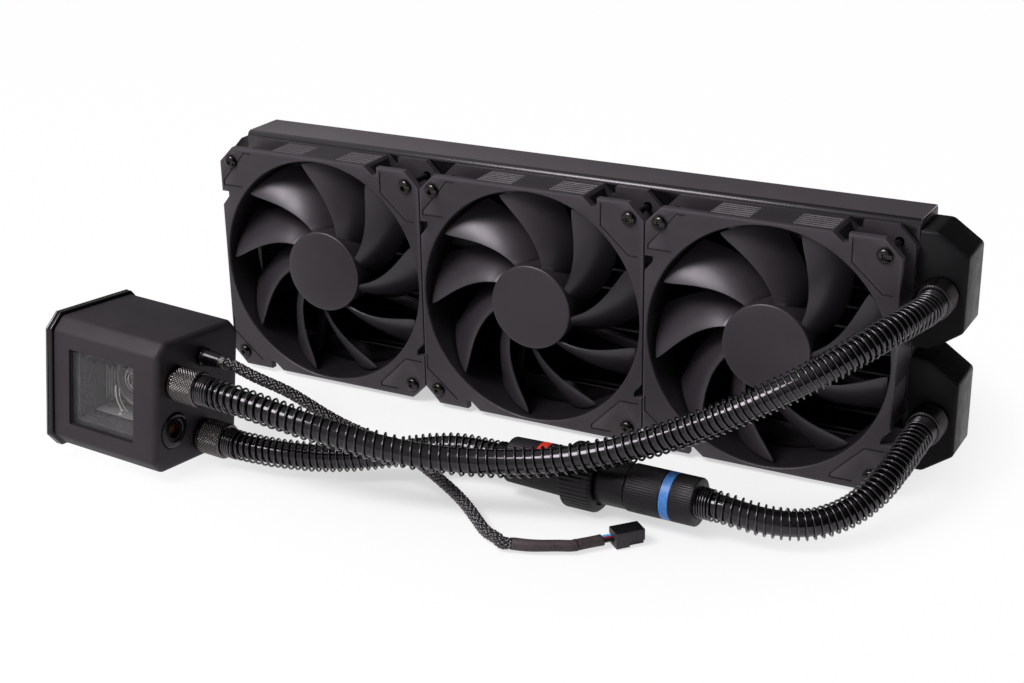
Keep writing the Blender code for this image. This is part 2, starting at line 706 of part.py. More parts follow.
def channel_mesh(name, upward):
    """A sheet folded to a channel that wraps one long edge of the core."""
    half = RADIATOR_DEPTH / 2
    bend = CHANNEL_BEND
    outer = [(-half, -CHANNEL_LIP), (-half, -bend)]
    outer += [(-half + bend * 0.3, -bend * 0.3), (-half + bend, 0.0)]
    outer += [(half - bend, 0.0), (half - bend * 0.3, -bend * 0.3)]
    outer += [(half, -bend), (half, -CHANNEL_LIP)]
    inner = [(half - SHEET, -CHANNEL_LIP), (half - SHEET, -SHEET)]
    inner += [(-half + SHEET, -SHEET), (-half + SHEET, -CHANNEL_LIP)]
    bm = prism(outer + inner, -RADIATOR_END, RADIATOR_END)
    along = Matrix(((0, 0, 1, 0), (1, 0, 0, 0), (0, 1, 0, 0), (0, 0, 0, 1)))
    moved(bm, along)
    top = RADIATOR_HEIGHT
    moved(bm, Matrix.Translation((0, 0, top)))
    steps = []
    tool = bmesh.new()
    level = FAN_CENTRE_Z + FAN_HOLE_SPACING / 2
    for number in range(FAN_COUNT):
        for side in (-1, 1):
            x = (number - (FAN_COUNT - 1) / 2) * FAN_PITCH + side * FAN_HOLE_SPACING / 2
            for face in (-1, 1):
                hole = revolve(
                    [
                        (0.0, -2 * SHEET),
                        (SCREW_HOLE_RADIUS, -2 * SHEET),
                        (SCREW_HOLE_RADIUS, 2 * SHEET),
                        (0.0, 2 * SHEET),
                    ],
                    8,
                )
                spot = Matrix.Translation((x, face * half, level)) @ Matrix.Rotation(math.pi / 2, 4, "X")
                moved(hole, spot)
                scrap = bpy.data.meshes.new("scrap")
                hole.to_mesh(scrap)
                hole.free()
                tool.from_mesh(scrap)
                bpy.data.meshes.remove(scrap)
    steps.append(("DIFFERENCE", tool))
    bm = carve(bm, steps)
    if not upward:
        flip = Matrix.Translation((0, 0, RADIATOR_HEIGHT)) @ Matrix.Scale(-1, 4, (0, 0, 1))
        moved(bm, flip)
    return finish_mesh(name, bm)


def core_mesh():
    """Flat tubes along the radiator, standing a little proud of the fin packs between them."""
    deep = CORE_HALF_DEPTH
    shallow = CORE_HALF_DEPTH - TUBE_PROUD
    low = RADIATOR_HEIGHT / 2 - CORE_HALF_HEIGHT
    high = RADIATOR_HEIGHT / 2 + CORE_HALF_HEIGHT
    pitch = (high - low) / TUBE_COUNT
    side = [(shallow, low)]
    for k in range(TUBE_COUNT):
        middle = low + pitch * (k + 0.5)
        side += [
            (shallow, middle - TUBE_THICKNESS / 2),
            (deep, middle - TUBE_THICKNESS / 2),
            (deep, middle + TUBE_THICKNESS / 2),
            (shallow, middle + TUBE_THICKNESS / 2),
        ]
    side.append((shallow, high))
    outline = side + [(-y, z) for y, z in reversed(side)]
    reach = RADIATOR_END - HEADER_THICKNESS - TOUCH_GAP
    bm = prism(outline, -reach, reach)
    along = Matrix(((0, 0, 1, 0), (1, 0, 0, 0), (0, 1, 0, 0), (0, 0, 0, 1)))
    return finish_mesh("radiator_core", moved(bm, along))


def tank_mesh(name, outline, mirrored=False):
    front = -RADIATOR_DEPTH / 2 + TANK_FRONT_INSET
    back = RADIATOR_DEPTH / 2 - TANK_BACK_INSET
    bm = prism(outline, front, back)
    upright = Matrix(((1, 0, 0, 0), (0, 0, 1, 0), (0, 1, 0, 0), (0, 0, 0, 1)))
    moved(bm, upright)
    inner = min(x for x, z in outline) if not mirrored else max(x for x, z in outline)
    bmesh.ops.recalc_face_normals(bm, faces=bm.faces)

    def away_from_header(edge):
        return not all(abs(vert.co.x - inner) < 1e-6 for vert in edge.verts)

    bevelled(bm, TANK_ROUND, 2, away_from_header)
    return finish_mesh(name, bm)


def tank_outline(low, high):
    inner = RADIATOR_END + TOUCH_GAP
    outer = RADIATOR_END + TOUCH_GAP + TANK_LENGTH
    cut = outer - TANK_CUT_LENGTH
    return [
        (inner, low),
        (cut, low),
        (outer, low + TANK_CUT_HEIGHT),
        (outer, high - TANK_CUT_HEIGHT),
        (cut, high),
        (inner, high),
    ]


def tank_levels():
    middle = RADIATOR_HEIGHT / 2
    lower = (TANK_EDGE_INSET, middle - TANK_SPLIT / 2)
    upper = (middle + TANK_SPLIT / 2, RADIATOR_HEIGHT - TANK_EDGE_INSET)
    return lower, upper


def build_radiator(mats):
    place("radiator_core", core_mesh(), mats["core"])
    place("radiator_channel_top", channel_mesh("channel_top", True), mats["channel"])
    place("radiator_channel_bottom", channel_mesh("channel_bottom", False), mats["channel_low"])
    depth = RADIATOR_DEPTH - 2 * SHEET - 2 * TOUCH_GAP
    height = 2 * CORE_HALF_HEIGHT
    for tag, side in (("right", 1), ("left", -1)):
        x = side * (RADIATOR_END - HEADER_THICKNESS / 2)
        plate = box((HEADER_THICKNESS, depth, height), (x, 0, RADIATOR_HEIGHT / 2))
        place(f"header_plate_{tag}", finish_mesh(f"header_{tag}", plate), mats["header"])
    lower, upper = tank_levels()
    place("end_tank_upper", tank_mesh("tank_upper", tank_outline(*upper)), mats["tank"], smooth=30)
    place("end_tank_lower", tank_mesh("tank_lower", tank_outline(*lower)), mats["tank_low"], smooth=30)
    inner = -RADIATOR_END - TOUCH_GAP
    outer = inner - RETURN_TANK_LENGTH
    low, high = TANK_EDGE_INSET, RADIATOR_HEIGHT - TANK_EDGE_INSET
    step = RETURN_TANK_LENGTH * 0.65
    outline = [
        (inner, low),
        (inner, high),
        (outer + step, high),
        (outer, high - TANK_CUT_HEIGHT),
        (outer, low + TANK_CUT_HEIGHT),
        (outer + step, low),
    ]
    place("return_tank", tank_mesh("return_tank", outline, True), mats["tank_end"], smooth=30)


def fitting_meshes():
    neck, ring = FITTING_NECK_RADIUS, FITTING_RING_RADIUS
    low = TOUCH_GAP
    shoulder = low + FITTING_RING_THICKNESS
    base = revolve(
        [
            (0.0, low),
            (ring - 0.4 * MM, low),
            (ring, low + 0.4 * MM),
            (ring, shoulder),
            (neck, shoulder),
            (neck, shoulder + FITTING_NECK_LENGTH),
            (0.0, shoulder + FITTING_NECK_LENGTH),
        ],
        18,
    )
    start = shoulder + TOUCH_GAP
    end = start + COLLAR_LENGTH
    cap = shoulder + FITTING_NECK_LENGTH + TOUCH_GAP
    r, c = COLLAR_RADIUS, COLLAR_CHAMFER
    hollow = neck + TOUCH_GAP
    mouth = HOSE_RADIUS + MOUTH_CLEARANCE
    collar = revolve(
        [
            (0.0, cap),
            (hollow, cap),
            (hollow, start),
            (r - c, start),
            (r, start + c),
            (r, end - c),
            (r - c, end),
            (mouth, end),
            (mouth, end - COLLAR_MOUTH_DEPTH),
            (0.0, end - COLLAR_MOUTH_DEPTH),
        ],
        20,
    )
    return finish_mesh("fitting_base", base), finish_mesh("fitting_collar", collar)


def collar_floor():
    """How far from its seat a fitting's mouth floor lies, where the hose begins."""
    return 2 * TOUCH_GAP + FITTING_RING_THICKNESS + COLLAR_LENGTH - COLLAR_MOUTH_DEPTH


def block_octagon(grow=0.0):
    """The block's section across its own X, as (Y, Z) points."""
    w, h, c = BLOCK_WIDTH, BLOCK_HEIGHT, BLOCK_CUT
    g = grow
    k = g * math.tan(math.pi / 8)
    return [
        (-g, c - k),
        (-g, h - c + k),
        (c - k, h + g),
        (w - c + k, h + g),
        (w + g, h - c + k),
        (w + g, c - k),
        (w - c + k, -g),
        (c - k, -g),
    ]


ALONG_BLOCK = Matrix(((0, 0, 1, 0), (1, 0, 0, 0), (0, 1, 0, 0), (0, 0, 0, 1)))


def round_hole(radius, depth, spot, sides=20, start=1 * MM):
    """A cutter that goes into the fitting face, at (Y, Z) in the block's axes."""
    profile = [(0.0, -depth), (radius, -depth), (radius, start), (0.0, start)]
    turn = Matrix.Rotation(math.pi / 2, 4, "Y")
    return moved(revolve(profile, sides), Matrix.Translation((BLOCK_LENGTH, *spot)) @ turn)


def housing_mesh():
    bm = moved(prism(block_octagon(), 0.0, BLOCK_LENGTH), ALONG_BLOCK)
    bmesh.ops.recalc_face_normals(bm, faces=bm.faces)

    def fitting_side(edge):
        return all(abs(vert.co.x - BLOCK_LENGTH) < 1e-6 for vert in edge.verts)

    bevelled(bm, BLOCK_ROUND, 3, fitting_side)
    x0, x1 = WINDOW_FROM_PLATE, WINDOW_FROM_PLATE + WINDOW_LENGTH
    z0, z1 = WINDOW_FROM_BOTTOM, WINDOW_FROM_BOTTOM + WINDOW_HEIGHT

    def pocket(margin, y0, y1):
        size = (x1 - x0 + 2 * margin, y1 - y0, z1 - z0 + 2 * margin)
        return box(size, ((x0 + x1) / 2, (y0 + y1) / 2, (z0 + z1) / 2))

    back = WINDOW_RECESS + WINDOW_THICKNESS + TOUCH_GAP
    tool = pocket(0.0, -1 * MM, WINDOW_RECESS + WINDOW_THICKNESS)
    ledge = pocket(-WINDOW_LEDGE, WINDOW_RECESS, back + RESERVOIR_DEPTH)
    steps = [("DIFFERENCE", tool), ("DIFFERENCE", ledge)]
    head = PLUG_HEAD_RADIUS + SCREW_CLEARANCE
    sunk = PLUG_HEAD_THICKNESS - PLUG_PROUD + SEAL_SECTION + 2 * TOUCH_GAP
    steps.append(("DIFFERENCE", round_hole(head, sunk, PLUG_PLACE, 24)))
    shank = PLUG_SHANK_RADIUS + SCREW_CLEARANCE
    steps.append(("DIFFERENCE", round_hole(shank, sunk + PLUG_SHANK_LENGTH, PLUG_PLACE, 20)))
    return finish_mesh("housing", carve(bm, steps))


def impeller_mesh():
    """A disc with curved vanes, open to the window."""
    r, h = IMPELLER_RADIUS, IMPELLER_HEIGHT
    disc = 1.2 * MM
    bm = revolve([(0.0, 0.0), (r, 0.0), (r, disc), (0.0, disc)], 24)
    steps = []
    for k in range(IMPELLER_VANES):
        points = []
        for s in np.linspace(0, 1, 4):
            radius = 2.2 * MM + s * (r - 2.9 * MM)
            points.append((radius, 0.9 * s))
        wide = 0.5 * MM
        left, right = [], []
        for rad, a in points:
            c, s = math.cos(a), math.sin(a)
            left.append((rad * c - wide * s, rad * s + wide * c))
            right.append((rad * c + wide * s, rad * s - wide * c))
        vane = prism(left + right[::-1], disc * 0.5, h)
        moved(vane, Matrix.Rotation(2 * math.pi * k / IMPELLER_VANES, 4, "Z"))
        steps.append(("UNION", vane))
    stub = IMPELLER_SHAFT_RADIUS
    foot = -TOUCH_GAP - 2 * MM
    boss = 3.2 * MM
    profile = [(0.0, foot), (stub, foot), (stub, disc * 0.5), (boss, disc * 0.5), (boss, h), (0.0, h)]
    hub = revolve(profile, 12)
    steps.append(("UNION", hub))
    return finish_mesh("impeller", carve(bm, steps))


def volute_mesh():
    """The cup that the impeller turns in, open to the window."""
    outer, rim = VOLUTE_RADIUS, VOLUTE_RIM
    floor = VOLUTE_DEPTH - IMPELLER_HEIGHT - 2.5 * MM
    hole = IMPELLER_SHAFT_RADIUS + SHAFT_CLEARANCE
    profile = [
        (0.0, 0.0),
        (outer, 0.0),
        (outer, VOLUTE_DEPTH - 1 * MM),
        (outer - 1 * MM, VOLUTE_DEPTH),
        (outer - rim, VOLUTE_DEPTH),
        (outer - rim, floor),
        (hole, floor),
        (hole, floor - 2 * MM - 2 * TOUCH_GAP),
        (0.0, floor - 2 * MM - 2 * TOUCH_GAP),
    ]
    return finish_mesh("volute", revolve(profile, 28)), floor


def build_block(mats):
    frame = empty("pump_block", Matrix.Translation(BLOCK_PLACE) @ BLOCK_TILT.to_matrix().to_4x4())
    place("pump_housing", housing_mesh(), mats["housing"], parent=frame, smooth=25)

    gap = TOUCH_GAP
    size = (WINDOW_LENGTH - 2 * gap, WINDOW_THICKNESS - gap, WINDOW_HEIGHT - 2 * gap)
    centre = (
        WINDOW_FROM_PLATE + WINDOW_LENGTH / 2,
        WINDOW_RECESS + (WINDOW_THICKNESS - gap) / 2,
        WINDOW_FROM_BOTTOM + WINDOW_HEIGHT / 2,
    )
    pane = bevelled(box(size, centre), 0.4 * MM, 1)
    place("pump_window", finish_mesh("window", pane), mats["window"], parent=frame)

    back = WINDOW_RECESS + WINDOW_THICKNESS + gap + RESERVOIR_DEPTH
    volute, floor = volute_mesh()
    facing = Matrix.Rotation(math.pi / 2, 4, "X")
    seat = Matrix.Translation((PUMP_CENTRE_ALONG, back - gap, PUMP_CENTRE_UP)) @ facing
    along = PUMP_CENTRE_ALONG
    reach = WINDOW_FROM_PLATE + WINDOW_LENGTH - WINDOW_LEDGE
    limit = reach - VOLUTE_RADIUS - gap
    if along > limit:
        seat = Matrix.Translation((limit, back - gap, PUMP_CENTRE_UP)) @ facing
    place("pump_volute", volute, mats["volute"], seat, frame, smooth=35)
    lift = Matrix.Translation((0, 0, floor + gap))
    place("pump_impeller", impeller_mesh(), mats["impeller"], seat @ lift, frame, smooth=35)

    flange = moved(prism(block_octagon(FLANGE_PROUD), -gap - FLANGE_THICKNESS, -gap), ALONG_BLOCK)
    bevelled(flange, 0.5 * MM, 1)
    place("base_flange", finish_mesh("flange", flange), mats["flange"], parent=frame)
    low = -2 * gap - FLANGE_THICKNESS
    plate = moved(prism(block_octagon(FLANGE_PROUD), low - BASE_PLATE_THICKNESS, low), ALONG_BLOCK)
    place("base_plate", finish_mesh("base_plate", plate), mats["base_plate"], parent=frame)
    face = low - BASE_PLATE_THICKNESS - gap
    half, cut = COLD_PLATE_SIZE / 2, COLD_PLATE_CORNER
    ring = []
    for turn in range(4):
        c, s = round(math.cos(math.pi / 2 * turn)), round(math.sin(math.pi / 2 * turn))
        for x, y in ((half, half - cut), (half - cut, half)):
            ring.append((BLOCK_WIDTH / 2 + x * c - y * s, BLOCK_HEIGHT / 2 + x * s + y * c))
    cold = moved(prism(ring, face - COLD_PLATE_THICKNESS, face), ALONG_BLOCK)
    bmesh.ops.recalc_face_normals(cold, faces=cold.faces)
    bevelled(cold, 0.6 * MM, 1, lambda edge: all(v.co.x < face - 1 * MM for v in edge.verts))
    place("cold_plate", finish_mesh("cold_plate", cold), mats["copper"], parent=frame)

    toward = Matrix.Rotation(math.pi / 2, 4, "Y")
    sunk = PLUG_HEAD_THICKNESS - PLUG_PROUD + SEAL_SECTION + 2 * gap
    spot = Matrix.Translation((BLOCK_LENGTH - sunk, *PLUG_PLACE)) @ toward
    r = PLUG_HEAD_RADIUS
    low = gap + SEAL_SECTION + gap
    top = low + PLUG_HEAD_THICKNESS
    shank = PLUG_SHANK_RADIUS
    tip = gap - PLUG_SHANK_LENGTH + 1 * MM
    turned = revolve(
        [
            (0.0, tip),
            (shank - 0.5 * MM, tip),
            (shank, tip + 0.5 * MM),
            (shank, low),
            (r, low),
            (r, top - 0.5 * MM),
            (r - 0.5 * MM, top),
            (0.0, top),
        ],
        24,
    )
    deep = PLUG_SOCKET_DEPTH
    rad = PLUG_SOCKET_RADIUS
    hexagon = revolve([(0.0, top - deep), (rad, top - deep), (rad, top + 1 * MM), (0.0, top + 1 * MM)], 6)
    plug = carve(turned, [("DIFFERENCE", hexagon)])
    place("fill_plug", finish_mesh("fill_plug", plug), mats["plug"], spot, frame, smooth=30)
    inner = shank + SCREW_CLEARANCE + 0.1 * MM
    outer = inner + SEAL_SECTION * 0.95
    bulge = SEAL_SECTION * 0.3
    seal = revolve(
        [
            (inner, gap + bulge),
            (inner + bulge, gap),
            (outer - bulge, gap),
            (outer, gap + bulge),
            (outer, gap + SEAL_SECTION - bulge),
            (outer - bulge, gap + SEAL_SECTION),
            (inner + bulge, gap + SEAL_SECTION),
            (inner, gap + SEAL_SECTION - bulge),
        ],
        16,
        ring=True,
    )
    place("plug_seal", finish_mesh("plug_seal", seal), mats["seal"], spot, frame, smooth=60)

    spot = Matrix.Translation((BLOCK_LENGTH, *GLAND_PLACE)) @ toward
    g = GLAND_RADIUS
    gland = revolve(
        [
            (0.0, gap),
            (g + GLAND_LIP, gap),
            (g + GLAND_LIP, gap + GLAND_LIP_LENGTH),
            (g, gap + GLAND_LIP_LENGTH + GLAND_LIP),
            (g - GLAND_TAPER, GLAND_LENGTH - 0.5 * MM),
            (g - GLAND_TAPER - 0.5 * MM, GLAND_LENGTH),
            (0.0, GLAND_LENGTH),
        ],
        20,
    )
    place("cable_gland", finish_mesh("cable_gland", gland), mats["gland"], spot, frame, smooth=35)
    return frame


def build_fittings(mats, block_matrix):
    base, collar = fitting_meshes()
    seats = {}
    x = RADIATOR_END + TOUCH_GAP + TANK_LENGTH / 2
    face = -RADIATOR_DEPTH / 2 + TANK_FRONT_INSET
    lower, upper = tank_levels()
    for tag, levels in (("tank_upper", upper), ("tank_lower", lower)):
        start = Vector((x, face, sum(levels) / 2))
        seats[tag] = axis_matrix(start, (0, -1, 0))
    toward = Matrix.Rotation(math.pi / 2, 4, "Y")
    for tag, spot in (("block_upper", UPPER_FITTING), ("block_lower", LOWER_FITTING)):
        seats[tag] = block_matrix @ Matrix.Translation((BLOCK_LENGTH, *spot)) @ toward
    for tag, seat in seats.items():
        place(f"fitting_base_{tag}", base, mats["fitting"], seat, smooth=35)
        place(f"collar_{tag}", collar, mats["collar"], seat, smooth=35)
    return seats


def coupling_part(name, profile, mat, matrix, sides=24, ring=False, ribs=None):
    mesh = finish_mesh(name, revolve(profile, sides, ring, ribs))
    return place(name, mesh, mat, matrix, smooth=30)


def band_groove(radius, low, high, depth):
    return [(radius, low), (radius - depth, low), (radius - depth, high), (radius, high)]


def build_coupling(mats):
    axis = COUPLING_END - COUPLING_START
    total = axis.length
    matrix = axis_matrix(COUPLING_START, axis)
    gap = TOUCH_GAP
    mouth = HOSE_RADIUS + MOUTH_CLEARANCE
    deep = COLLAR_MOUTH_DEPTH
    r0, r1 = SOCKET_RADIUS - SOCKET_TAPER, SOCKET_RADIUS
    length = SOCKET_LENGTH

    def taper(height):
        return r0 + (r1 - r0) * height / length

    low = RED_BAND_FROM_END
    high = low + BAND_WIDTH
    floor = r0 - BAND_DEPTH
    profile = [(0.0, deep), (mouth, deep), (mouth, 0.0), (r0 - 0.8 * MM, 0.0), (r0, 0.8 * MM)]
    profile += [(taper(low), low), (floor, low), (floor, high), (taper(high), high)]
    profile += [(r1, length), (0.0, length)]
    coupling_part("coupling_socket", profile, mats["coupling"], matrix)

    def band(name, mat, low, high, inner, outer_low, outer_high):
        ring = [
            (inner, low + gap),
            (outer_low, low + gap),
            (outer_high, high - gap),
            (inner, high - gap),
        ]
        coupling_part(name, ring, mat, matrix, ring=True)

    band("band_red", mats["red"], low, high, floor + gap, taper(low), taper(high))

    nut_low = length + gap
    nut_high = nut_low + NUT_WIDTH
    c = NUT_CHAMFER
    hole = NECK_RADIUS + SHAFT_CLEARANCE
    ring = [
        (hole, nut_low),
        (NUT_RADIUS - 0.9 * MM, nut_low),
        (NUT_RADIUS, nut_low + 0.9 * MM),
        (NUT_RADIUS, nut_high - c),
        (NUT_RADIUS - c, nut_high),
        (hole, nut_high),
    ]
    ribs = (NUT_RIBS, NUT_RIB_DEPTH, nut_low + 0.5 * MM, nut_high - c * 0.5)
    nut_seat = matrix
    coupling_part("coupling_nut", ring, mats["nut"], nut_seat, NUT_RIBS * 2, True, ribs)

    neck_start = nut_low
    barrel_start = nut_high + gap
    barrel_end = barrel_start + BARREL_LENGTH
    profile = [
        (0.0, neck_start),
        (NECK_RADIUS, neck_start),
        (NECK_RADIUS, barrel_start),
        (BARREL_RADIUS - 0.4 * MM, barrel_start),
        (BARREL_RADIUS, barrel_start + 0.4 * MM),
        (BARREL_RADIUS, barrel_end),
        (0.0, barrel_end),
    ]
    coupling_part("coupling_barrel", profile, mats["barrel"], matrix)

    start = barrel_end + gap
    r = SLEEVE_RADIUS
    high = total - BLUE_BAND_FROM_END + BAND_WIDTH
    low = high - BAND_WIDTH
    floor = r - BAND_DEPTH
    profile = [(0.0, start), (r - 0.5 * MM, start), (r, start + 0.5 * MM)]
    profile += band_groove(r, low, high, BAND_DEPTH)
    profile += [(r, total - 0.6 * MM), (r - 0.6 * MM, total), (mouth, total)]
    profile += [(mouth, total - deep), (0.0, total - deep)]
    coupling_part("coupling_sleeve", profile, mats["coupling_end"], matrix)
    band("band_blue", mats["blue"], low, high, floor + gap, r, r)
    return matrix, total


def mouth_point(seat):
    return seat @ Vector((0, 0, collar_floor() + TOUCH_GAP))


def build_hoses(mats, seats, coupling, coupling_length):
    def towards(seat):
        return tuple((seat.to_3x3() @ Vector((0, 0, 1))).normalized())

    deep = COLLAR_MOUTH_DEPTH - TOUCH_GAP
    ends = {tag: (mouth_point(seat), towards(seat)) for tag, seat in seats.items()}
    ends["socket"] = (coupling @ Vector((0, 0, deep)), tuple(-Vector(towards(coupling))))
    ends["sleeve"] = (coupling @ Vector((0, 0, coupling_length - deep)), towards(coupling))

    def hose(name, first, last, route, mat):
        a, da = ends[first]
        b, db = ends[last]
        points = [tuple(a), *mm_points(route), tuple(b)]
        path = smooth_points(points, da, tuple(-Vector(db)), HOSE_STEP, HOSE_LEAD)
        tube(name, path, HOSE_RADIUS, mat, 3)

    hose("hose_upper", "block_upper", "tank_upper", SUPPLY_ROUTE, mats["hose_a"])
    hose("hose_lower_block", "block_lower", "socket", RETURN_ROUTE, mats["hose_b"])
    hose("hose_lower_tank", "sleeve", "tank_lower", OUTLET_ROUTE, mats["hose_c"])


def flat_strip(points, width, thickness):
    """A strip of rounded section that follows the points on the floor."""
    bm = bmesh.new()
    rings = []
    for k, point in enumerate(points):
        before = points[max(k - 1, 0)]
        after = points[min(k + 1, len(points) - 1)]
        along = (after - before).normalized()
        side = Vector((-along.y, along.x, 0.0)).normalized()
        up = along.cross(side).normalized()
        if up.z < 0:
            up = -up
        ring = []
        for a in range(8):
            angle = 2 * math.pi * (a + 0.5) / 8
            c, s = math.cos(angle), math.sin(angle)
            reach = 0.48 / max(abs(c), abs(s))
            spot = point + side * (c * reach * width) + up * (s * reach * thickness)
            ring.append(bm.verts.new(spot))
        rings.append(ring)
    for first, second in zip(rings, rings[1:]):
        for a in range(8):
            n = (a + 1) % 8
            bm.faces.new((first[a], first[n], second[n], second[a]))
    bm.faces.new(rings[0])
    bm.faces.new(rings[-1])
    return bm


def build_cable(mats, block_matrix):
    toward = Matrix.Rotation(math.pi / 2, 4, "Y")
    gland = block_matrix @ Matrix.Translation((BLOCK_LENGTH, *GLAND_PLACE)) @ toward
    start = gland @ Vector((0, 0, GLAND_LENGTH + TOUCH_GAP))
    out = tuple((gland.to_3x3() @ Vector((0, 0, 1))).normalized())
    sleeve_end = Vector(CABLE_SLEEVE_END) * MM
    shrink_end = Vector(SHRINK_END) * MM
    tail_end = Vector(TAIL_END) * MM
    route = [tuple(start), *mm_points(CABLE_ROUTE), tuple(sleeve_end)]
    shrink_points = mm_points(SHRINK_ROUTE)
    meet = (Vector(shrink_points[0]) - sleeve_end).normalized()
    path = smooth_points(route, out, tuple(meet), CABLE_STEP, CABLE_LEAD)
    tube("cable_sleeve", path, CABLE_RADIUS, mats["braid"], 2)
    first = sleeve_end + meet * TOUCH_GAP
    finish = Vector((tail_end.x - shrink_end.x, tail_end.y - shrink_end.y, 0.0)).normalized()
    route = [tuple(first), *shrink_points, tuple(shrink_end)]
    path = smooth_points(route, tuple(meet), tuple(finish), CABLE_STEP, CABLE_LEAD)
    tube("cable_heat_shrink", path, SHRINK_RADIUS, mats["shrink"], 2)
    along = finish
    side = Vector((-along.y, along.x, 0.0)).normalized()
    run = (tail_end - shrink_end).length - TOUCH_GAP
    tail = [shrink_end + along * (TOUCH_GAP + k / 3 * run) for k in range(4)]
    strip = flat_strip(tail, TAIL_WIDTH, TAIL_THICKNESS)
    place("cable_tail", finish_mesh("cable_tail", strip), mats["tail"], smooth=50)
    wire = 3.6 * MM
    shades = ("wire_blue", "wire_red", "wire_black")
    for k, shade in enumerate(shades):
        offset = side * (1 - k) * WIRE_SPACING
        a = tail_end + along * TOUCH_GAP + offset
        b = a + along * wire
        tube(f"cable_{shade}", [a, b], WIRE_RADIUS, mats[shade], 2)
    face = tail_end + along * (2 * TOUCH_GAP + wire)
    face.z = 0.2 * MM
    length, width, height = PLUG_BODY_LENGTH, PLUG_BODY_WIDTH, PLUG_BODY_HEIGHT
    step, tall = 0.42 * length, 0.62 * height
    section = [
        (0.0, 0.0),
        (length, 0.0),
        (length, height),
        (step * 0.4, height),
        (0.0, tall + (height - tall) * 0.55),
    ]
    body = moved(prism(section, -width / 2, width / 2), Matrix.Rotation(math.pi / 2, 4, "X"))
    slot = box((length * 0.5, width * 0.62, height * 0.42), (length * 0.8, 0, height * 0.46))
    low_corner = (length * 0.74, -width / 2 + 0.2 * MM, height * 0.2)
    ledge = box((length * 0.62, 2.2 * MM, height * 0.34), low_corner)
    bm = carve(body, [("DIFFERENCE", slot), ("DIFFERENCE", ledge)])
    turn = Matrix((along, side, Vector((0, 0, 1)))).transposed().to_4x4()
    seat = Matrix.Translation(face) @ turn
    place("cable_connector", finish_mesh("cable_connector", bm), mats["connector"], seat)


def palette():
    return {
        "fan_frame": material("fan_frame_plastic", (0.030, 0.029, 0.031), 0.62),
        "fan_rotor": material("fan_rotor_plastic", (0.034, 0.033, 0.036), 0.46),
        "screw": material("black_screw_steel", (0.020, 0.020, 0.020), 0.18, 0.9),
        "core": material("core_black_paint", (0.012, 0.012, 0.013), 0.55, 0.2),
        "channel": material("channel_paint_top", (0.026, 0.025, 0.027), 0.42, 0.1),
        "channel_low": material("channel_paint_bottom", (0.026, 0.025, 0.027), 0.42, 0.1),
        "header": material("header_paint", (0.016, 0.016, 0.017), 0.5, 0.2),
        "tank": material("tank_paint_upper", (0.018, 0.018, 0.019), 0.36, 0.1),
        "tank_low": material("tank_paint_lower", (0.018, 0.018, 0.019), 0.36, 0.1),
        "tank_end": material("tank_paint_return", (0.018, 0.018, 0.019), 0.36, 0.1),
        "fitting": material("fitting_nickel_black", (0.030, 0.028, 0.026), 0.28, 0.9),
        "collar": material("collar_knurl_black", (0.060, 0.058, 0.056), 0.38, 0.85),
        "housing": material("housing_plastic", (0.028, 0.027, 0.029), 0.55),
        "window": material("window_acrylic", (0.35, 0.35, 0.36), 0.08, 0.0, 0.35),
        "volute": material("volute_clear", (0.30, 0.30, 0.31), 0.2),
        "impeller": material("impeller_plastic", (0.20, 0.20, 0.21), 0.35),
        "flange": material("flange_gloss_black", (0.006, 0.006, 0.006), 0.22),
        "base_plate": material("base_plate_satin", (0.060, 0.058, 0.060), 0.4, 0.6),
        "copper": material("cold_plate_copper", (0.72, 0.36, 0.22), 0.25, 1.0),
        "plug": material("plug_black", (0.010, 0.010, 0.010), 0.25),
        "seal": material("seal_rubber", (0.008, 0.008, 0.008), 0.6),
        "gland": material("gland_rubber", (0.010, 0.010, 0.010), 0.35),
        "coupling": material("coupling_socket_plastic", (0.022, 0.021, 0.022), 0.55),
        "barrel": material("coupling_barrel_plastic", (0.018, 0.017, 0.018), 0.5),
        "coupling_end": material("coupling_sleeve_plastic", (0.022, 0.021, 0.022), 0.55),
        "nut": material("coupling_nut_plastic", (0.018, 0.018, 0.018), 0.5),
        "red": material("band_red_plastic", (0.60, 0.035, 0.010), 0.5),
        "blue": material("band_blue_plastic", (0.06, 0.22, 0.60), 0.5),
        "hose_a": material("hose_rubber_upper", (0.012, 0.012, 0.012), 0.22),
        "hose_b": material("hose_rubber_block", (0.012, 0.012, 0.012), 0.22),
        "hose_c": material("hose_rubber_tank", (0.012, 0.012, 0.012), 0.22),
        "braid": material("cable_braid", (0.030, 0.030, 0.030), 0.5),
        "shrink": material("heat_shrink", (0.035, 0.031, 0.032), 0.4),
        "tail": material("cable_ribbon", (0.030, 0.028, 0.029), 0.45),
        "wire_blue": material("wire_blue", (0.05, 0.30, 0.62), 0.4),
        "wire_red": material("wire_red", (0.40, 0.02, 0.05), 0.4),
        "wire_black": material("wire_black", (0.01, 0.01, 0.01), 0.4),
        "connector": material("connector_plastic", (0.016, 0.016, 0.017), 0.45),
    }


def main():
    clear_scene()
    mats = palette()
    build_radiator(mats)
    build_fans(mats)
    build_screws(mats)
    frame = build_block(mats)
    bpy.context.view_layer.update()
    block_matrix = frame.matrix_world.copy()
    seats = build_fittings(mats, block_matrix)
    coupling, length = build_coupling(mats)
    build_hoses(mats, seats, coupling, length)
    build_cable(mats, block_matrix)
    bpy.context.view_layer.update()


main()
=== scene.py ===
"""Looks of the liquid cooler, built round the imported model. Lengths here are in millimetres and
become metres when a piece is made; the axes are those of the model."""
import math

import bmesh
import bpy
import numpy as np
from mathutils import Euler, Matrix, Vector


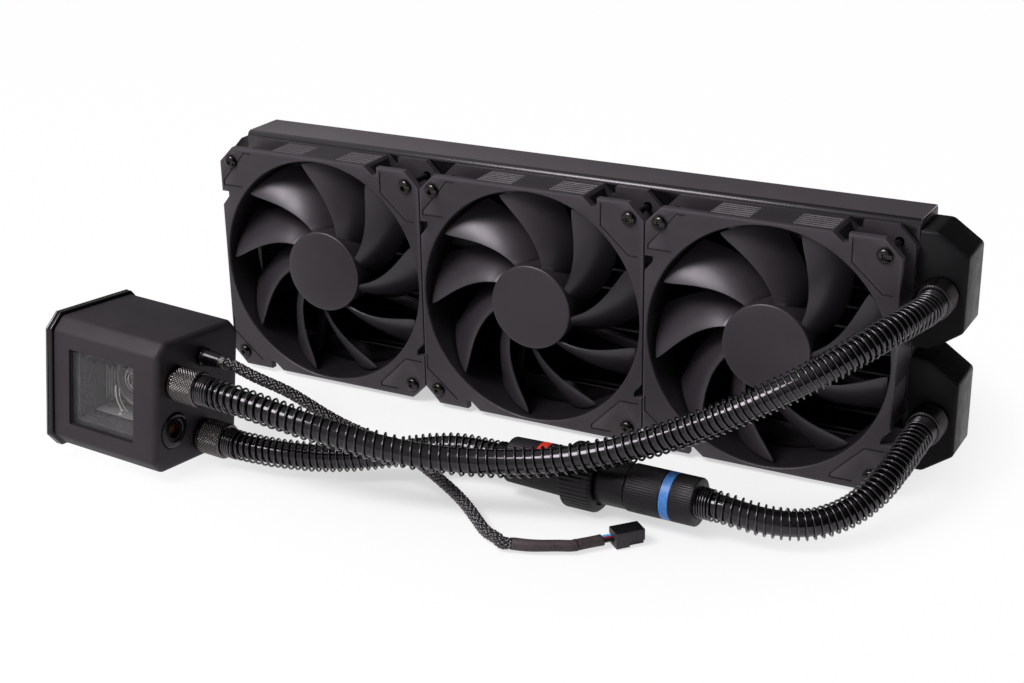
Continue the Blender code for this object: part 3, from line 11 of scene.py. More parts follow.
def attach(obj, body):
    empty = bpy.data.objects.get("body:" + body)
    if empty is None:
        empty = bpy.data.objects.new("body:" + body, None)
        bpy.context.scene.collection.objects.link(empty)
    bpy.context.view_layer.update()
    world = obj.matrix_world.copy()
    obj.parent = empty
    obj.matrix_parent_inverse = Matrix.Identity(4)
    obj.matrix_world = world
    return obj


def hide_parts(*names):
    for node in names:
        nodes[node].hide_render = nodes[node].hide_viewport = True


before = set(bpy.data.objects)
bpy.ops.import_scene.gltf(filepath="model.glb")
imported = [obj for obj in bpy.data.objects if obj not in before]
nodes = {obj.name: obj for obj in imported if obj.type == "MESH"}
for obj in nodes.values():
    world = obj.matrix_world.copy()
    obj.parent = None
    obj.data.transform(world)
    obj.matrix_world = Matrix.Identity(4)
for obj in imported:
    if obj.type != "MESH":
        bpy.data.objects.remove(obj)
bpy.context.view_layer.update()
scene = bpy.context.scene
MM = 0.001
UP = Vector((0, 0, 1))
QUARTER = math.pi / 2

# ---- camera ----
CAMERA_PLACE = Vector((371.07, -735.03, 358.02)) * MM
CAMERA_FORWARD = Vector((-0.44623, 0.81527, -0.36907)).normalized()
CAMERA_RIGHT = Vector((0.88009, 0.47453, -0.01586)).normalized()
LENS = 61.36
SENSOR = 36.0


def placed(spot, x, y, z):
    """A place with the given axes."""
    return Matrix.Translation(spot) @ Matrix((x, y, z)).transposed().to_4x4()


def build_camera():
    data = bpy.data.cameras.new("view")
    data.lens = LENS
    data.sensor_width = SENSOR
    data.sensor_fit = "HORIZONTAL"
    data.clip_start = 0.01
    camera = bpy.data.objects.new("view", data)
    up = CAMERA_RIGHT.cross(CAMERA_FORWARD).normalized()
    camera.matrix_world = placed(CAMERA_PLACE, CAMERA_RIGHT, up, -CAMERA_FORWARD)
    scene.collection.objects.link(camera)
    scene.camera = camera


# ---- pieces ----
def new_mesh(name, bm):
    bmesh.ops.recalc_face_normals(bm, faces=bm.faces)
    mesh = bpy.data.meshes.new(name)
    bm.to_mesh(mesh)
    bm.free()
    return mesh


def in_metres(name, bm):
    mesh = new_mesh(name, bm)
    mesh.transform(Matrix.Scale(MM, 4))
    return mesh


def let_ride(obj, node, body):
    scene.collection.objects.link(obj)
    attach(obj, body)
    if node:
        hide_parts(node)
    return obj


def put(name, shape, look, at=None, smooth=30, node=None, body="cooler"):
    """Makes a piece of a bmesh in millimetres or a mesh in metres, and lets it ride."""
    mesh = shape if isinstance(shape, bpy.types.Mesh) else in_metres(name, shape)
    obj = bpy.data.objects.new(name, mesh)
    if not mesh.materials:
        mesh.materials.append(MATS[look])
    if smooth is not None:
        mesh.shade_smooth()
        mesh.set_sharp_from_angle(angle=math.radians(smooth))
    if at is not None:
        matrix = at.copy()
        matrix.translation = at.translation * MM
        obj.matrix_world = matrix
    return let_ride(obj, node, body)


# ---- mesh helpers ----
def prism(outline, low, high):
    bm = bmesh.new()
    face = bm.faces.new([bm.verts.new((x, y, low)) for x, y in outline])
    top = bmesh.ops.extrude_face_region(bm, geom=[face])["geom"]
    lifted = [item for item in top if isinstance(item, bmesh.types.BMVert)]
    bmesh.ops.translate(bm, verts=lifted, vec=(0, 0, high - low))
    return bm


def box(size, centre):
    bm = bmesh.new()
    bmesh.ops.create_cube(bm, size=1.0)
    bmesh.ops.scale(bm, vec=size, verts=bm.verts)
    bmesh.ops.translate(bm, vec=centre, verts=bm.verts)
    return bm


def moved(bm, matrix):
    bmesh.ops.transform(bm, matrix=matrix, verts=bm.verts)
    return bm


def joined(parts):
    whole = bmesh.new()
    for part in parts:
        scrap = new_mesh("scrap", part)
        whole.from_mesh(scrap)
        bpy.data.meshes.remove(scrap)
    return whole


def revolve(profile, segments, ring=False, shape=None):
    """Turns (radius, height) points round Z. shape(radius, height, angle) may change a radius."""
    bm = bmesh.new()
    loops = []
    for radius, height in profile:
        if radius < 1e-6:
            loops.append([bm.verts.new((0, 0, height))])
            continue
        loop = []
        for k in range(segments):
            angle = 2 * math.pi * k / segments
            r = shape(radius, height, angle) if shape else radius
            loop.append(bm.verts.new((r * math.cos(angle), r * math.sin(angle), height)))
        loops.append(loop)
    pairs = list(zip(loops, loops[1:]))
    if ring:
        pairs.append((loops[-1], loops[0]))
    for low, high in pairs:
        if len(low) == len(high) == 1:
            continue
        for k in range(segments):
            n = (k + 1) % segments
            corners = ((low, k), (low, n), (high, n), (high, k))
            spots = dict.fromkeys(loop[i % len(loop)] for loop, i in corners)
            bm.faces.new(list(spots))
    if not ring:
        for loop in (loops[0], loops[-1]):
            if len(loop) > 1:
                bm.faces.new(loop)
    return bm


def cylinder(radius, low, high, sides):
    return revolve([(0.0, low), (radius, low), (radius, high), (0.0, high)], sides)


def rounded(points, radius, steps=3):
    """Rounds the corners of an open profile; the ends stay."""
    out = [points[0]]
    for before, here, after in zip(points, points[1:], points[2:]):
        a, b, c = Vector(before), Vector(here), Vector(after)
        reach = min(radius, (a - b).length * 0.45, (c - b).length * 0.45)
        first = b + (a - b).normalized() * reach
        last = b + (c - b).normalized() * reach
        for k in range(steps + 1):
            t = k / steps
            spot = first * (1 - t) ** 2 + b * (2 * t * (1 - t)) + last * t * t
            out.append((spot.x, spot.y))
    out.append(points[-1])
    return out


def quarter_turned(points, turn):
    c, s = round(math.cos(QUARTER * turn)), round(math.sin(QUARTER * turn))
    return [(x * c - y * s, x * s + y * c) for x, y in points]


def carve(bm, steps):
    """Applies Boolean steps in turn. Each is a cutter, or a pair of operation and tool."""
    target = bpy.data.objects.new("carve_target", new_mesh("carve_target", bm))
    scene.collection.objects.link(target)
    helpers = []
    for step in steps:
        operation, tool = step if isinstance(step, tuple) else ("DIFFERENCE", step)
        helper = bpy.data.objects.new("carve_tool", new_mesh("carve_tool", tool))
        scene.collection.objects.link(helper)
        helpers.append(helper)
        modifier = target.modifiers.new("step", "BOOLEAN")
        modifier.operation = operation
        modifier.solver = "EXACT"
        modifier.object = helper
    graph = bpy.context.evaluated_depsgraph_get()
    graph.update()
    evaluated = target.evaluated_get(graph)
    result = bmesh.new()
    result.from_mesh(evaluated.to_mesh())
    evaluated.to_mesh_clear()
    for obj in [target, *helpers]:
        mesh = obj.data
        bpy.data.objects.remove(obj, do_unlink=True)
        bpy.data.meshes.remove(mesh)
    bmesh.ops.remove_doubles(result, verts=result.verts, dist=1e-3)
    bmesh.ops.dissolve_degenerate(result, edges=result.edges, dist=1e-4)
    return result


def bevelled(bm, width, segments, chosen=None, angle=30.0):
    bmesh.ops.recalc_face_normals(bm, faces=bm.faces)
    edges = [
        edge
        for edge in bm.edges
        if len(edge.link_faces) == 2
        and edge.calc_face_angle(0.0) > math.radians(angle)
        and (chosen is None or chosen(edge))
    ]
    bmesh.ops.bevel(bm, geom=edges, offset=width, segments=segments, profile=0.5, affect="EDGES")
    return bm


def span_along(edge, axis):
    return abs(edge.verts[0].co[axis] - edge.verts[1].co[axis])


# ---- routes ----
def axis_matrix(start, direction):
    """A place whose Z runs along a level direction."""
    z = Vector(direction).normalized()
    x = UP.cross(z).normalized()
    return placed(start, x, z.cross(x), z)


def axis_of(matrix):
    return (matrix.to_3x3() @ UP).normalized()


def smooth_points(points, start_dir, end_dir, step, lead):
    """Evenly spaced points of a natural spline that leaves and arrives straight."""
    pts = [np.array(point, dtype=float) for point in points]
    leaving = pts[0] + np.array(start_dir, dtype=float) * lead
    arriving = pts[-1] - np.array(end_dir, dtype=float) * lead
    route = np.array([pts[0], leaving, *pts[1:-1], arriving, pts[-1]])
    spans = np.sqrt(np.linalg.norm(np.diff(route, axis=0), axis=1))
    knots = np.concatenate([[0.0], np.cumsum(spans)])
    count = len(route)
    gaps = np.diff(knots)
    system = np.eye(count)
    right = np.zeros((count, 3))
    for k in range(1, count - 1):
        system[k, k - 1 : k + 2] = gaps[k - 1], 2 * (gaps[k - 1] + gaps[k]), gaps[k]
        rise = (route[k + 1] - route[k]) / gaps[k] - (route[k] - route[k - 1]) / gaps[k - 1]
        right[k] = 6 * rise
    bend = np.linalg.solve(system, right)
    dense = []
    for value in np.linspace(0, knots[-1], 900):
        k = min(max(int(np.searchsorted(knots, value)) - 1, 0), count - 2)
        h = gaps[k]
        a, b = (knots[k + 1] - value) / h, (value - knots[k]) / h
        curve = (a**3 - a) * bend[k] + (b**3 - b) * bend[k + 1]
        dense.append(a * route[k] + b * route[k + 1] + curve * h * h / 6)
    return resampled(np.array(dense), step)


def resampled(dense, step):
    run = np.concatenate([[0.0], np.cumsum(np.linalg.norm(np.diff(dense, axis=0), axis=1))])
    marks = np.linspace(0, run[-1], max(int(round(run[-1] / step)), 3) + 1)
    return np.stack([np.interp(marks, run, dense[:, axis]) for axis in range(3)], axis=1)


def run_length(path):
    return float(np.linalg.norm(np.diff(path, axis=0), axis=1).sum())


def moving_axes(path):
    """The direction at each point, and two across it that are carried along without twist."""
    up = np.array(UP)
    along = np.gradient(path, axis=0)
    along /= np.linalg.norm(along, axis=1)[:, None]
    side = up - along[0] * np.dot(up, along[0])
    side /= np.linalg.norm(side)
    sides = []
    for direction in along:
        side = side - direction * np.dot(side, direction)
        side /= np.linalg.norm(side)
        sides.append(side.copy())
    sides = np.array(sides)
    return along, sides, np.cross(along, sides)


def around(centre, first, second, angle, radius):
    """Points at an angle and a radius round a path."""
    spot = centre + first * (np.cos(angle) * radius)[:, None]
    return spot + second * (np.sin(angle) * radius)[:, None]


def straight(start, direction, steps):
    return np.array([tuple(start + direction * step) for step in steps])


def tube_faces(base, rings, count):
    """Faces round a chain of rings of vertices, with a cap at each end."""
    faces = []
    last = base + (rings - 1) * count
    for a in range(base, last, count):
        for k in range(count):
            n = (k + 1) % count
            faces.append((a + k, a + n, a + count + n, a + count + k))
    faces.append(tuple(range(base, base + count))[::-1])
    faces.append(tuple(range(last, last + count)))
    return faces


def sweep(name, paths, section):
    """One mesh of closed tubes, in metres. section is (u, v) points, or one list a path point."""
    verts, faces = [], []
    for path in paths:
        _, first, second = moving_axes(path)
        cuts = np.array(section, dtype=float)
        if cuts.ndim == 2:
            cuts = np.broadcast_to(cuts, (len(path), *cuts.shape))
        ring = path[:, None, :] + first[:, None, :] * cuts[:, :, 0:1]
        ring = ring + second[:, None, :] * cuts[:, :, 1:2]
        faces += tube_faces(len(verts), len(path), cuts.shape[1])
        verts.extend((ring.reshape(-1, 3) * MM).tolist())
    mesh = bpy.data.meshes.new(name)
    mesh.from_pydata(verts, [], faces)
    mesh.shade_smooth()
    return mesh


def circle(radius, count, turn=0.0):
    steps = [2 * math.pi * (k + turn) / count for k in range(count)]
    return [(radius * math.cos(a), radius * math.sin(a)) for a in steps]


# ---- materials ----
WHITE = (1.0, 1.0, 1.0)
GLOSS_TINT = (1.0, 0.93, 1.0)
COAT_ROUGHNESS = 0.1


def feed(tree, socket, value):
    """Links a socket to an output, or sets it."""
    if isinstance(value, bpy.types.NodeSocket):
        tree.links.new(value, socket)
    else:
        socket.default_value = (*value, 1.0) if socket.type == "RGBA" else value


def add_node(tree, kind, inputs, output, **settings):
    node = tree.nodes.new(f"ShaderNode{kind}")
    for name, value in settings.items():
        setattr(node, name, value)
    for key, value in inputs.items():
        feed(tree, node.inputs[key], value)
    return node.outputs[output] if output is not None else node


def map_range(tree, value, source, target, kind="LINEAR"):
    limits = zip(("From Min", "From Max", "To Min", "To Max"), (*source, *target))
    inputs = {"Value": value, **dict(limits)}
    return add_node(tree, "MapRange", inputs, "Result", interpolation_type=kind)


def facing(tree, normal, axis):
    return add_node(tree, "VectorMath", {0: normal, 1: axis}, "Value", operation="DOT_PRODUCT")


def surface(
    name,
    colour,
    rough,
    metallic=0.0,
    specular=0.5,
    vary=0.35,
    patch=45.0,
    grain=1500.0,
    bump=0.12,
    depth=0.06,
    rough_vary=0.08,
    wear_and_edge_highlight=0.0,
    coat=0.0,
    alpha=1.0,
    stretch=WHITE,
    shade=None,
):
    """Plain moulded or painted surface: colour patches, grain in bump and gloss, edges lightened
    partly as wear, partly as painted highlight.
    shade is (axis, start, full, level): painted shade, where faces that turn towards the axis get
    darker."""
    mat = bpy.data.materials.new(name)
    mat.use_nodes = True
    tree = mat.node_tree
    shader = tree.nodes["Principled BSDF"]
    place = add_node(tree, "TexCoord", {}, "Object")
    scaled = add_node(tree, "Mapping", {"Vector": place, "Scale": stretch}, "Vector")

    def noise(size, detail):
        inputs = {"Vector": scaled, "Scale": size, "Detail": detail, "Roughness": 0.6}
        return add_node(tree, "TexNoise", inputs, "Fac")

    def ramp(source, low, first, high, second):
        node = add_node(tree, "ValToRGB", {"Fac": source}, None)
        stops = zip(node.color_ramp.elements, (low, high), (first, second))
        for stop, position, shown in stops:
            stop.position = position
            stop.color = (*shown, 1.0) if isinstance(shown, tuple) else (shown, shown, shown, 1.0)
        return node.outputs["Color"]

    def blend(kind, amount, first, second):
        # Among a Mix node's sockets these are the factor, the two colours and the coloured result.
        inputs = {0: amount, 6: first, 7: second}
        return add_node(tree, "Mix", inputs, 2, data_type="RGBA", blend_type=kind)

    pale = tuple(min(1.0, c * (1 + vary)) for c in colour)
    patches = ramp(noise(patch, 5.0), 0.32, tuple(c * (1 - vary) for c in colour), 0.68, pale)
    fine = noise(grain, 3.0)
    speck = ramp(fine, 0.30, 1 - vary * 0.5, 0.72, 1 + vary * 0.35)
    colours = blend("MULTIPLY", 1.0, patches, speck)
    # Edges found by pointiness get a paler colour: partly wear, partly a painted highlight along
    # the edges.
    if wear_and_edge_highlight > 0:
        edge = ramp(add_node(tree, "NewGeometry", {}, "Pointiness"), 0.515, 0.0, 0.58, wear_and_edge_highlight)
        colours = blend("MIX", edge, colours, tuple(min(1.0, c * 2.6 + 0.02) for c in colour))
    # Painted shade: faces that turn towards the axis get a darker colour.
    if shade is not None:
        axis, start, full, level = shade
        normal = add_node(tree, "NewGeometry", {}, "True Normal")
        darker = ramp(facing(tree, normal, axis), start, 1.0, full, level)
        colours = blend("MULTIPLY", 1.0, colours, darker)
    levels = (max(rough - rough_vary, 0.02), min(rough + rough_vary, 1.0))
    relief = {"Strength": bump, "Distance": depth * MM, "Height": fine}
    for socket, value in {
        "Base Color": colours,
        "Metallic": metallic,
        "Roughness": map_range(tree, noise(patch * 3.1, 4.0), (0.3, 0.7), levels),
        "Specular IOR Level": specular,
        "Specular Tint": GLOSS_TINT,
        "Coat Weight": coat,
        "Coat Roughness": COAT_ROUGHNESS,
        "Alpha": alpha,
        "Normal": add_node(tree, "Bump", relief, "Normal"),
    }.items():
        feed(tree, shader.inputs[socket], value)
    mat.diffuse_color = (*colour, alpha)
    return mat


FRAME_GREY = (0.0250, 0.0212, 0.0256)
# A darker copy of the frame grey, painted shade for the inside of the bore.
DUCT_SHADE_GREY = (0.0105, 0.0088, 0.0105)
KNURLED = dict(metallic=1.0, vary=0.05, grain=5000, bump=0.02)
MATS = {
    # Frame plastic: its lighter edges are partly wear, partly a painted highlight.
    "frame": surface(
        "fan_frame_plastic", FRAME_GREY, 0.44, specular=0.4, vary=0.12, wear_and_edge_highlight=0.3, bump=0.25,
        grain=2300,
    ),
    # The bore's inside: the frame's plastic painted darker, as painted shade.
    "duct": surface(
        "fan_duct_painted_shade", DUCT_SHADE_GREY, 0.5, specular=0.25, vary=0.12, bump=0.25, grain=2300
    ),
    "rotor": surface(
        "fan_rotor_plastic", (0.0270, 0.0228, 0.0276), 0.37, vary=0.1, bump=0.2, grain=2600,
        rough_vary=0.03,
    ),
    "screw": surface("screw_steel", (0.045, 0.043, 0.041), 0.15, metallic=1.0, grain=4000),
    "tube": surface("core_tube_paint", (0.0016, 0.0015, 0.0017), 0.5, specular=0.1, grain=900),
    "fin": surface("core_fin_paint", (0.0018, 0.0017, 0.0018), 0.55, specular=0.1, grain=1200),
    # Faces that turn to the front get a near black colour: painted shade on the front lip and bend.
    "channel": surface(
        "channel_paint", (0.080, 0.067, 0.077), 0.27, specular=0.6, vary=0.08, bump=0.15,
        grain=3200, rough_vary=0.02, patch=25, shade=((0, -1, 0), 0.02, 0.20, 0.03),
    ),
    "header": surface("header_paint", (0.012, 0.012, 0.013), 0.5),
    # Tank paint: its strongly lightened bevels are a painted highlight.
    "tank": surface("tank_paint", (0.0036, 0.0032, 0.0037), 0.36, specular=0.07, wear_and_edge_highlight=0.9),
    "fitting": surface("fitting_metal", (0.040, 0.037, 0.034), 0.28, metallic=1.0),
    "collar_bright": surface("collar_bright", (0.115, 0.107, 0.105), 0.22, **KNURLED),
    "collar_dark": surface("collar_dark", (0.050, 0.047, 0.047), 0.22, **KNURLED),
    "housing": surface(
        "housing_plastic", (0.0245, 0.0205, 0.0240), 0.55, specular=0.24, vary=0.12, bump=0.2,
        grain=2600, rough_vary=0.04,
    ),
    "pane": surface("window_acrylic", (0.20, 0.195, 0.20), 0.06, alpha=0.13, bump=0.02, vary=0.05),
    "gasket": surface("window_gasket", (0.004, 0.004, 0.004), 0.6),
    # Inner faces that turn to +X, the left wall, get darker: painted shade.
    "liner": surface(
        "reservoir_plastic", (0.056, 0.051, 0.055), 0.3, vary=0.06, patch=40,
        shade=((1, 0, 0), 0.3, 0.8, 0.25),
    ),
    "volute": surface("volute_clear", (0.20, 0.195, 0.20), 0.16, vary=0.2, coat=0.6, patch=160),
    "impeller": surface("impeller_plastic", (0.34, 0.335, 0.33), 0.3, vary=0.15),
    # Pale metal for the volute's arcs: a painted highlight on its rim.
    "rim_highlight": surface("volute_rim_painted_highlight", (0.75, 0.73, 0.68), 0.12, metallic=0.6, vary=0.1),
    "flange": surface("flange_gloss_black", (0.003, 0.003, 0.003), 0.16, specular=0.35, bump=0.05),
    "base": surface("base_plate_steel", (0.085, 0.082, 0.085), 0.36, metallic=0.7, wear_and_edge_highlight=0.4),
    "copper": surface(
        "cold_plate_copper", (0.62, 0.26, 0.14), 0.24, metallic=1.0, vary=0.12,
        stretch=(1.0, 14.0, 1.0), grain=420, bump=0.25,
    ),
    "plug": surface("plug_black", (0.0035, 0.0035, 0.0035), 0.2, specular=0.25),
    "bronze": surface("socket_bronze", (0.20, 0.065, 0.020), 0.3, metallic=0.8),
    "seal": surface("seal_rubber", (0.005, 0.005, 0.005), 0.55),
    "gland": surface("gland_rubber", (0.0030, 0.0030, 0.0030), 0.2, specular=0.35, bump=0.1),
    "coupling": surface(
        "coupling_plastic", (0.0078, 0.0070, 0.0078), 0.42, specular=0.24, vary=0.15, grain=2600,
        bump=0.3,
    ),
    "barrel": surface(
        "barrel_plastic", (0.0050, 0.0045, 0.0050), 0.38, specular=0.22, vary=0.15, bump=0.2
    ),
    "red": surface("band_red_plastic", (0.62, 0.034, 0.016), 0.45, vary=0.18, patch=400),
    "blue": surface("band_blue_plastic", (0.045, 0.175, 0.50), 0.45, vary=0.2, patch=500),
    "hose": surface(
        "hose_rubber", (0.0010, 0.0009, 0.0010), 0.125, specular=0.52, bump=0.05, grain=900
    ),
    "spring": surface("spring_wire", (0.0040, 0.0038, 0.0040), 0.2, specular=0.85, bump=0.03),
    "core": surface("cable_inner", (0.003, 0.003, 0.003), 0.5),
    "braid": surface(
        "cable_braid", (0.10, 0.094, 0.098), 0.34, metallic=1.0, vary=0.3, patch=900
    ),
    "crimp": surface(
        "braid_crimp", (0.16, 0.155, 0.15), 0.25, metallic=1.0, grain=2500, bump=1.0, depth=0.3
    ),
    "shrink": surface(
        "heat_shrink", (0.048, 0.036, 0.038), 0.5, specular=0.25, bump=0.3, grain=700, patch=110
    ),
    "wire_blue": surface("wire_blue_cover", (0.10, 0.42, 0.78), 0.35, vary=0.12),
    "wire_red": surface("wire_red_cover", (0.24, 0.012, 0.028), 0.35, vary=0.15),
    "wire_black": surface("wire_black_cover", (0.006, 0.006, 0.006), 0.35),
    # Faces that turn up get darker: painted shade on the connector's top.
    "connector": surface(
        "connector_plastic", (0.034, 0.030, 0.034), 0.45, specular=0.25, bump=0.2,
        shade=((0, 0, 1), 0.4, 0.8, 0.12),
    ),
    "pin": surface("terminal_brass", (0.45, 0.30, 0.12), 0.3, metallic=1.0),
}
# The model's own pieces that stay in view get a look too.
for node, look in {
    "header_plate_left": "header",
    "header_plate_right": "header",
    "pump_volute": "volute",
    "pump_impeller": "impeller",
    "plug_seal": "seal",
}.items():
    nodes[node].material_slots[0].material = MATS[look]

# ---- places, the same as in the model ----
GAP = 0.3
FAN_DEPTH = 25.0
FAN_BACK_Y = -14.5
FAN_CENTRE_Z = 62.0
FAN_PITCH = 120.3
HOLE_FROM_CENTRE = 52.5
UPRIGHT = Matrix.Rotation(QUARTER, 4, "X")
RADIATOR_HALF = 14.2
RADIATOR_TOP = 124.0
RADIATOR_END = 180.3
TANK_LEVELS = {"lower": (4.5, 59.6), "upper": (64.4, 119.5)}
BLOCK_LENGTH = 61.9
BLOCK_WIDTH = 59.4
BLOCK_HEIGHT = 63.8
BLOCK_TILT = Euler((math.radians(-5.58), math.radians(2.635), math.radians(-1.70)), "XYZ")
BLOCK = Matrix.Translation((-184.2, -176.2, 8.1)) @ BLOCK_TILT.to_matrix().to_4x4()
UPPER_FITTING = (13.4, BLOCK_HEIGHT * 0.6771)
LOWER_FITTING = (33.9, BLOCK_HEIGHT * 0.1818)
PLUG = (12.8, BLOCK_HEIGHT * 0.3088)
GLAND = (31.8, BLOCK_HEIGHT * 0.8025)
GLAND_LENGTH = 11.8
COUPLING_START = Vector((25.5, -105.0, 15.2))
COUPLING_END = Vector((118.4, -107.4, 15.2))
COUPLING_LENGTH = (COUPLING_END - COUPLING_START).length
COUPLING = axis_matrix(COUPLING_START, COUPLING_END - COUPLING_START)
ALONG_X = Matrix(((0, 0, 1, 0), (1, 0, 0, 0), (0, 1, 0, 0), (0, 0, 0, 1)))


def on_face(spot, sunk=0.0):
    """A place on the block's fitting face, or sunk behind it, that looks outwards."""
    place = Matrix.Translation((BLOCK_LENGTH - sunk, *spot))
    return BLOCK @ place @ Matrix.Rotation(QUARTER, 4, "Y")


SEATS = {
    f"tank_{tag}": axis_matrix(Vector((191.6, -13.8, sum(levels) / 2)), (0, -1, 0))
    for tag, levels in TANK_LEVELS.items()
}
SEATS["block_upper"] = on_face(UPPER_FITTING)
SEATS["block_lower"] = on_face(LOWER_FITTING)

# ---- cords ----
SUPPLY_ROUTE = (
    (-67.2, -160.2, 41.8), (-32.4, -153.9, 34.4), (1.6, -143.8, 28.2), (35.6, -132.2, 27.4),
    (69.6, -121.8, 32.6), (102.6, -113.4, 44.7), (133.9, -104.8, 60.4), (162.2, -89.5, 76.5),
    (183.0, -64.0, 89.0),
)
RETURN_ROUTE = (
    (-77.1, -140.3, 11.4), (-51.6, -130.6, 10.7), (-27.5, -118.1, 12.9), (-2.6, -107.6, 16.0),
)
OUTLET_ROUTE = (
    (137.6, -107.0, 13.7), (155.3, -103.0, 11.5), (170.8, -93.5, 12.3), (182.0, -80.0, 17.2),
    (188.2, -64.3, 24.5),
)
CABLE_ROUTE = (
    (-87.3, -144.4, 49.9), (-69.2, -142.4, 44.4), (-52.5, -137.9, 34.6), (-36.3, -132.3, 26.2),
    (-19.4, -127.6, 19.0), (-1.8, -128.2, 11.0), (15.6, -134.8, 5.6), (30.5, -146.3, 3.6),
    (39.3, -153.1, 3.3), (46.0, -156.2, 3.3),
)
CABLE_SLEEVE_END = Vector((53.0, -156.9, 3.3))
SHRINK_ROUTE = ((58.9, -155.3, 3.2), (65.6, -152.5, 3.2), (72.0, -149.2, 3.2))
SHRINK_END = Vector((77.9, -145.5, 3.2))
TAIL_END = Vector((85.8, -136.4, 3.2))
TAIL_LENGTH = 12.0
HOSE_RADIUS = 5.5
HOSE_FROM_SEAT = 13.9
HOSE_IN_COUPLING = 1.3
CABLE_RADIUS = 2.85
CORE_RADIUS = 2.0
WIRE_RADIUS = 0.88
WIRE_SPACING = 1.75
SPRING_WIRE = 0.55
SPRING_RADIUS = 6.5
SPRING_POINTS_A_TURN = 26
# Piece, ends, route, node, phase of the spring, and its pitch at PITCH_PLACES along the hose.
PITCH_PLACES = (0.0, 0.3, 0.52, 0.68, 1.0)
HOSES = (
    ("hose_supply", "block_upper", "tank_upper", SUPPLY_ROUTE, "hose_upper", 0.4,
     (3.8, 4.3, 4.2, 3.0, 2.8)),
    ("hose_return", "block_lower", "socket", RETURN_ROUTE, "hose_lower_block", 2.0,
     (3.0, 3.2, 3.2, 3.1, 3.1)),
    ("hose_outlet", "sleeve", "tank_lower", OUTLET_ROUTE, "hose_lower_tank", 1.1,
     (3.8, 3.3, 2.9, 2.8, 2.7)),
)


def curve_tube(name, path, radius, look, sides, node, radii=None):
    data = bpy.data.curves.new(name, "CURVE")
    data.dimensions = "3D"
    spline = data.splines.new("POLY")
    spline.points.add(len(path) - 1)
    for k, (knot, point) in enumerate(zip(spline.points, path)):
        knot.co = (*(point * MM), 1.0)
        knot.radius = radii[k] if radii else 1.0
    spline.use_smooth = True
    data.bevel_depth = radius * MM
    data.bevel_resolution = sides
    data.use_fill_caps = True
    data.materials.append(MATS[look])
    return let_ride(bpy.data.objects.new(name, data), node, "cooler")


def spring_path(path, phase, pitches):
    """The centre line of a wire wound round the hose, close at both ends."""
    fine = resampled(path, 0.25)
    _, first, second = moving_axes(fine)
    run = np.linspace(0, run_length(fine), len(fine))
    from_end = np.minimum(run, run[-1] - run)
    close = 2.15 * SPRING_WIRE
    pitch = np.interp(from_end, (0.0, 6.8, 7.4, 26.0), (close, close, 2.6, 4.8))
    pitch = np.minimum(pitch, np.interp(run / run[-1], PITCH_PLACES, pitches))
    turns = np.concatenate([[0.0], np.cumsum(np.diff(run) / pitch[1:])])
    inside = (run > 1.0) & (run < run[-1] - 1.0)
    low, top = turns[inside][0], turns[inside][-1]
    marks = np.linspace(low, top, int((top - low) * SPRING_POINTS_A_TURN))
    where = np.interp(marks, turns, run)
    centre, u, v = (
        np.stack([np.interp(where, run, values[:, k]) for k in range(3)], axis=1)
        for values in (fine, first, second)
    )
    radius = SPRING_RADIUS + 0.07 * np.sin(marks * 2.1 + phase) + 0.05 * np.sin(marks * 5.3)
    free = np.clip((np.minimum(where, run[-1] - where) - 6.0) / 20.0, 0.0, 1.0)
    shift = 0.22 * free * np.sin(where / run[-1] * math.pi * 3.0 + phase)
    spot = around(centre, u, v, 2 * math.pi * marks + phase, radius)
    spot[:, 2] += shift
    return spot


def build_hoses():
    ends = {
        tag: (seat @ Vector((0, 0, HOSE_FROM_SEAT)), axis_of(seat)) for tag, seat in SEATS.items()
    }
    along = axis_of(COUPLING)
    ends["socket"] = (COUPLING @ Vector((0, 0, HOSE_IN_COUPLING)), -along)
    ends["sleeve"] = (COUPLING @ Vector((0, 0, COUPLING_LENGTH - HOSE_IN_COUPLING)), along)
    for name, start, stop, route, node, phase, pitches in HOSES:
        a, towards_a = ends[start]
        b, towards_b = ends[stop]
        path = smooth_points([tuple(a), *route, tuple(b)], towards_a, -towards_b, 3.0, 10.0)
        hose = curve_tube(name, path, HOSE_RADIUS, "hose", 10, node)
        wire = sweep(f"{name}_spring", [spring_path(path, phase, pitches)], circle(SPRING_WIRE, 8))
        spring = put(f"{name}_spring", wire, "spring", smooth=None)


BRAID_CARRIERS = 8
BRAID_PITCH = 17.5
FILAMENT = 0.48
WEAVE = 0.28


def braid_paths(path):
    """Strands that run both ways round the cable, over and under each other."""
    fine = resampled(path, 0.42)
    _, first, second = moving_axes(fine)
    run = np.linspace(0, run_length(fine), len(fine))
    weave = WEAVE * np.cos(2 * math.pi * BRAID_CARRIERS * run / BRAID_PITCH)
    middle = CABLE_RADIUS - FILAMENT - WEAVE
    paths = []
    for hand in (1, -1):
        for k in range(BRAID_CARRIERS):
            turn = hand * 2 * math.pi * run / BRAID_PITCH + 2 * math.pi * k / BRAID_CARRIERS
            radius = middle + hand * (weave if k % 2 else -weave)
            paths.append(around(fine, first, second, turn, radius))
    return paths


def skin_cuts(count):
    """Sections of the heat-shrink: a little flatter and uneven, with a lip at its end."""
    cuts = []
    for t in np.arange(count) / (count - 1):
        size = 2.72 + 0.04 * math.sin(9.0 * t) + 0.22 * max(0.0, t - 0.93) / 0.07
        flat = 1.0 - 0.12 * t
        cuts.append([(u * flat * size, v * size) for u, v in circle(1.0, 28)])
    return cuts


